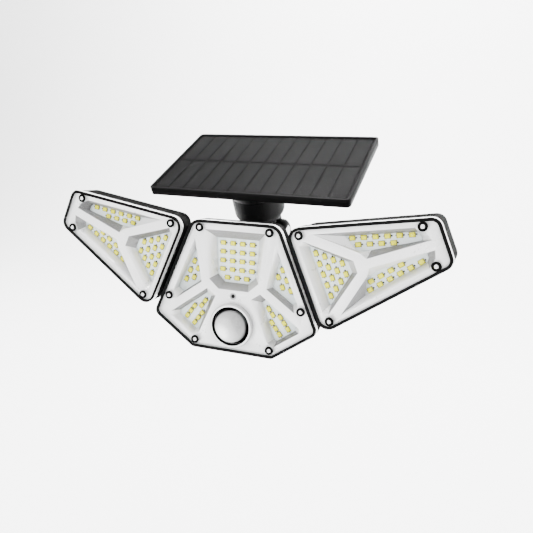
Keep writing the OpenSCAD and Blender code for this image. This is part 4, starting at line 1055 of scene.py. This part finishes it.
@dataclass
class LampHead(FaceHead):
    """The middle head with its sensor dome."""

    dome_share: Place = (0.0, 0.784)
    eye_share: Place = (0.0, 0.559)
    dome_r: float = 10.3
    dome_h: float = 7.0
    dome_wall: float = 0.8
    dome_lip: float = 1.6
    dome_steps: int = 24
    flange: Place = (2.4, 3.4)
    ring_r: float = 13.6
    ring_proud: float = 2.2
    ring_edges: Triple = (0.25, 0.15, 0.5)
    # Where the painted black shadow and the painted shade start on the dome and ring, in millimetres.
    shadow_slack: float = 0.01
    shadow_lip: float = 0.3
    shade_edge: float = 0.55
    eye_profile: tuple[Place, ...] = ((1.3, 0.3), (1.3, -0.05), (1.5, -0.12), (1.9, -0.08), (2.1, 0.0),
                                      (2.1, 0.3), (1.3, 0.3))
    lathe_steps: int = 96

    @classmethod
    def at_home(cls) -> "LampHead":
        """The head with its chips, screws and pocket walls worked out from their shares."""
        (left, top), (step_x, step_z), (last_x, last_z) = TOP_CHIPS, TOP_CHIP_STEP, LAST_CHIPS
        shares = [(left + step_x * i, top + step_z * j) for i in range(TOP_CHIP_COUNT)
                  for j in range(TOP_CHIP_COUNT)]
        shares += [(last_x + step_x * i, last_z) for i in range(LAST_CHIP_COUNT)]
        chips = [(SIZES.top_place(share), 0.0) for share in shares]
        for starts, counts, step in CHIP_ROWS:
            lean = math.atan2(step[0] * SIZES.head_side_w / 2, step[1] * SIZES.head_h)
            for start, count in zip(starts, counts):
                for k in range(count):
                    x, z = SIZES.head_place((start[0] + k * step[0], start[1] + k * step[1]))
                    chips += [((x, z), lean + math.pi / 2), ((-x, z), math.pi / 2 - lean)]
        screws = [SIZES.edge_place(share) for share in HEAD_SCREWS]
        walls = TOP_POCKET.walls(SIZES.top_place)
        for pocket in SIDE_POCKETS:
            walls += pocket.walls(SIZES.edge_place)
        return cls("center", "lamp", SIZES.head_frame(), chips, screws + [(-x, z) for x, z in screws], walls)

    def sensor(self) -> None:
        """Make the milky dome, the raised ring round it, and the dark eye's dished seat, with painted black
        shadow in the gap round the dome and painted shade on the ring's edge and the eye's seat.
        """
        x, z = SIZES.head_place(self.dome_share)
        frame = self.frame @ Matrix.Translation((x * MM, 0, z * MM))
        cap = self.dome_h - self.ring_proud
        curve = (self.dome_r ** 2 + cap ** 2) / (2 * cap)
        middle = curve - self.dome_h
        sides = []
        for radius, reach in ((self.dome_r, curve), (self.dome_r - self.dome_wall, curve - self.dome_wall)):
            turns = [math.asin(radius / reach) * k / self.dome_steps for k in range(self.dome_steps + 1)]
            sides.append([(reach * math.sin(turn), middle - reach * math.cos(turn)) for turn in turns])
        outer, inner = sides
        foot, (front, back) = self.dome_r + 2 * self.dome_lip, self.flange
        rim = [(self.dome_r, front), (foot, front), (foot, back), (self.dome_r - self.dome_wall, back)]
        # The dome's flange, seen in the gap, gets the painted black shadow.
        self.lathe("sensor_dome", "pir_dome", outer + rim + inner[::-1], MILKY_PAINTED_LIGHT, frame,
                   self.dome_r + self.shadow_slack)
        gap, proud, top, plate = self.dome_r + self.dome_lip, self.ring_proud, self.ring_r, SIZES.reflector_y
        inside, small, large = self.ring_edges
        ring = [(gap, plate), (gap, inside - proud), (gap + inside, -proud), (top - large, -proud),
                (top - small, small - proud), (top, large - proud), (top, plate), (gap, plate)]
        # The ring's inner wall gets the painted black shadow in the gap, its outer edge the soft painted
        # shade.
        self.lathe("sensor_ring", "pir_ring", ring, PEARL, frame, shadow_in=gap + self.shadow_lip,
                   shade_out=top - self.shade_edge)
        x, z = SIZES.head_place(self.eye_share)
        frame = self.frame @ Matrix.Translation((x * MM, 0, z * MM))
        # The eye's dished seat wears the soft painted shade, a grey halo standing in for the shade round the
        # eye.
        self.lathe("eye_seat", "", [(r, plate + y) for r, y in self.eye_profile], PAINTED_SHADES[Shade.SOFT], frame)

    def lathe(self, name: str, node: str, profile: list[Place], finish: Finish, frame: Matrix,
              shadow_out: float = math.inf, shadow_in: float = 0.0, shade_out: float = math.inf) -> None:
        """Turn a piece, with painted black shadow where it faces the gap round the dome and painted shade at
        its outer edge.

        Args:
            name: The piece's name.
            node: The solid that it stands for, or nothing.
            profile: Its radius and depth points, in millimetres.
            finish: Its finish.
            frame: Its place.
            shadow_out: Faces that reach past this radius get the painted black shadow.
            shadow_in: Faces wholly inside this radius get the painted black shadow.
            shade_out: Faces wholly outside this radius get the soft painted shade.
        """
        shape = turned([(r * MM, y * MM) for r, y in profile], self.lathe_steps)
        bmesh.ops.remove_doubles(shape, verts=shape.verts, dist=FINE_MERGE)
        bmesh.ops.recalc_face_normals(shape, faces=shape.faces)
        made = mesh_object(name, shape, finish)
        # Painted shadow in the gap uses the black seal finish; painted shade at the outer edge uses the soft
        # grey.
        if shadow_out < math.inf or shadow_in > 0:
            for extra in (BLACK_SEAL_AND_SHADOW, PAINTED_SHADES[Shade.SOFT]):
                made.data.materials.append(extra.material())
            for face in made.data.polygons:
                corners = [made.data.vertices[i].co for i in face.vertices]
                reach = [Vector((corner.x, corner.z)).length / MM for corner in corners]
                if max(reach) > shadow_out or max(reach) < shadow_in:
                    face.material_index = 1
                if min(reach) > shade_out:
                    face.material_index = 2
        seat(made, frame)
        enlist(made, self.body, node)


@dataclass
class WingHead(FaceHead):
    """A hinged wing."""

    @classmethod
    def on(cls, side: Side) -> "WingHead":
        """The wing on one side, with its chips and screws worked out from their shares.

        Args:
            side: Which wing.

        Returns:
            The wing.
        """
        chips = [(SIZES.wing_chip_place((share, (k - (count - 1) / 2) * INNER_CHIP_STEP)), math.pi / 2)
                 for share, count in INNER_CHIP_ROWS for k in range(count)]
        along, across = LONG_CHIP_STEP
        for t, w, count in LONG_CHIP_ROWS:
            for k in range(count):
                for way in (-1, 1):
                    place = SIZES.wing_chip_place((t + along * k, way * (w - across * k)))
                    chips.append((place, -way * SIZES.wing_slope - SIZES.wing_lean))
        screws = [SIZES.wing_place((t, way * w)) for t, w in WING_SCREWS for way in (1, -1)]
        walls = [wall for pocket in WING_POCKETS[side] for wall in pocket.walls(SIZES.wing_place)]
        name = f"{side.value}_wing"
        return cls(name, name, SIZES.wing_frame(side), chips, screws, walls)


@dataclass
class SolarPanel:
    """The panel's tray, cells and their fine fingers, in millimetres."""

    body: str = "panel"
    tray_rounding: float = 0.5
    neck_rounding: float = 0.4
    margin: float = 3.0
    cell_gap: float = 0.9
    mid_gap: float = 1.6
    finger_pitch: float = 1.25
    finger_w: float = 0.16
    finger_t: float = 0.06
    finger_short: float = 1.0
    recess_depth: float = 2.1
    backing_t: float = 1.0
    cell_t: float = 0.3

    def dress(self) -> None:
        """Round the tray's edges and finish its neck."""
        softened("panel_tray", self.tray_rounding * MM, BLACK_PANEL, self.body)
        softened("panel_neck", self.neck_rounding * MM, BLACK_MOULDED, self.body)

    def fingers(self, templates: Templates) -> None:
        """Set the fine fingers on the cells.

        Args:
            templates: Keeps the strip that is repeated.
        """
        inside_w, inside_d = SIZES.panel_w - 2 * self.margin, SIZES.panel_d - 2 * self.margin
        cell_w = (inside_w - (SIZES.cell_cols - 1) * self.cell_gap) / SIZES.cell_cols
        cell_d = (inside_d - self.mid_gap) / 2
        shape = bmesh.new()
        bmesh.ops.create_cube(shape, size=1.0)
        bmesh.ops.scale(shape, vec=(self.finger_w * MM, (cell_d - self.finger_short) * MM,
                                    self.finger_t * MM), verts=shape.verts)
        strip = templates.keep(mesh_object("finger_template", shape, FINGER, smooth=False))
        top = SIZES.neck_h + SIZES.panel_t - self.recess_depth + self.backing_t + self.cell_t
        count = int((cell_w - self.finger_pitch / 2) / self.finger_pitch)
        places: list[tuple[Vector, Vector]] = []
        for column in range(SIZES.cell_cols):
            left = column * (cell_w + self.cell_gap) - inside_w / 2
            for k in range(count):
                x = left + cell_w / 2 + (k - (count - 1) / 2) * self.finger_pitch
                for row in (0, 1):
                    y = SIZES.neck_shift - inside_d / 2 + row * (cell_d + self.mid_gap) + cell_d / 2
                    places.append((Vector((x * MM, y * MM, (top + self.finger_t / 2) * MM)), Vector()))
        made = Copies.make("cell_fingers", strip, places, FINGER)
        seat(made, SIZES.panel_frame())
        enlist(made, self.body)


@dataclass
class Mounting:
    """The wall plate, arm, turret and rear cover behind the lamp."""

    rounding: float = 0.5

    def dress(self) -> None:
        """Round the moulded pieces' edges."""
        for node, body in (("wall_plate", "bracket"), ("bracket_arm", "bracket"), ("panel_turret", "turret"),
                           ("rear_cover", "lamp")):
            softened(node, self.rounding * MM, BLACK_MOULDED, body)


@dataclass
class Studio:
    """The plain floor, soft lights and the camera, in metres."""

    floor_z: float = -0.42
    half_w: float = 5.0
    front: float = -3.0
    bend_y: float = 1.4
    bend_r: float = 1.0
    bend_steps: int = 12
    wall_top: float = 4.0
    paper: float = 0.97
    paper_rough: float = 0.9
    middle: Triple = (0, -0.09, 0.03)
    room: float = 1.9
    room_stops: tuple[Place, Place] = ((0.45, 1.0), (1.0, 0.75))
    camera: Triple = (0.11705, -0.39682, 0.09073)
    right: Triple = (0.9418, 0.3344, 0.0345)
    up: Triple = (-0.1001, 0.1809, 0.9784)
    lens: float = 35.095
    film: float = 36.0
    near: float = 0.01

    def build(self) -> None:
        """Make the floor, the lights and the camera."""
        self.floor()
        self.lights()
        self.viewpoint()
        LOG.info("studio ready")

    def floor(self) -> None:
        """A pale floor that curves up behind into a plain backdrop."""
        shape = bmesh.new()
        profile: list[Place] = [(self.front, 0.0), (self.bend_y, 0.0)]
        for k in range(1, self.bend_steps + 1):
            angle = math.radians(90 * k / self.bend_steps)
            profile.append((self.bend_y + self.bend_r * math.sin(angle),
                            self.bend_r - self.bend_r * math.cos(angle)))
        profile.append((self.bend_y + self.bend_r, self.wall_top))
        rows = [[shape.verts.new((x, y, self.floor_z + z)) for x in (-self.half_w, self.half_w)]
                for y, z in profile]
        for a, b in zip(rows, rows[1:]):
            shape.faces.new((a[0], a[1], b[1], b[0]))
        bmesh.ops.recalc_face_normals(shape, faces=shape.faces)
        paint = bpy.data.materials.new("Studio paper")
        paint.use_nodes = True
        shader = paint.node_tree.nodes["Principled BSDF"]
        shader.inputs["Base Color"].default_value = (self.paper, self.paper, self.paper, 1)
        shader.inputs["Roughness"].default_value = self.paper_rough
        shader.inputs["Specular IOR Level"].default_value = 0.0
        floor = mesh_object("studio_floor", shape, None)
        floor.data.materials.append(paint)

    def lights(self) -> None:
        """A soft key from the front left, a fill from the right, a lit backdrop and a bright room."""
        for name, spot, target, size, power in (
                ("key", (-0.9, -1.5, 0.7), self.middle, 1.2, 26.0),
                ("fill", (1.2, -1.2, 0.4), self.middle, 1.2, 10.0),
                ("backdrop", (0.0, 0.5, 2.0), (0.0, 1.9, 0.0), 2.0, 380.0)):
            data = bpy.data.lights.new(name, "AREA")
            data.size = size
            data.energy = power
            thing = linked(name, data)
            thing.location = spot
            thing.rotation_euler = (Vector(target) - Vector(spot)).to_track_quat("-Z", "Y").to_euler()
        world = bpy.data.worlds.new("Room")
        world.use_nodes = True
        tree = world.node_tree
        shine = tree.nodes["Background"]
        shine.inputs["Strength"].default_value = self.room
        spot, split = add(tree, "ShaderNodeTexCoord"), add(tree, "ShaderNodeSeparateXYZ")
        ramp = add(tree, "ShaderNodeValToRGB")
        grade(ramp, self.room_stops)
        wire(tree, (spot, "Generated", split, 0), (split, "Z", ramp, "Fac"), (ramp, "Color", shine, "Color"))
        bpy.context.scene.world = world

    def viewpoint(self) -> None:
        """Stand the camera where the photograph was taken from."""
        data = bpy.data.cameras.new("camera")
        data.sensor_width = self.film
        data.sensor_fit = "HORIZONTAL"
        data.lens = self.lens
        data.clip_start = self.near
        right = Vector(self.right).normalized()
        back = right.cross(Vector(self.up)).normalized()
        up = back.cross(right).normalized()
        frame = Matrix((right, up, back)).transposed().to_4x4()
        thing = linked("camera", data)
        thing.matrix_world = Matrix.Translation(self.camera) @ frame
        bpy.context.scene.camera = thing


def main() -> None:
    """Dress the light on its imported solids."""
    logging.basicConfig(level=logging.INFO, format="%(message)s")
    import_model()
    for node, finish in NODE_FINISH.items():
        wear(bpy.data.objects[node], finish)
    Studio().build()
    templates = Templates()
    shapes = {"case": templates.chip_case(), "window": templates.chip_window(),
              "mark": templates.board_mark(), "screw": templates.screw()}
    lamp = LampHead.at_home()
    for head in (lamp, WingHead.on(Side.LEFT), WingHead.on(Side.RIGHT)):
        head.dress()
        head.fill(shapes)
    lamp.sensor()
    panel = SolarPanel()
    panel.dress()
    panel.fingers(templates)
    Mounting().dress()
    templates.clear()


if __name__ == "__main__":
    main()
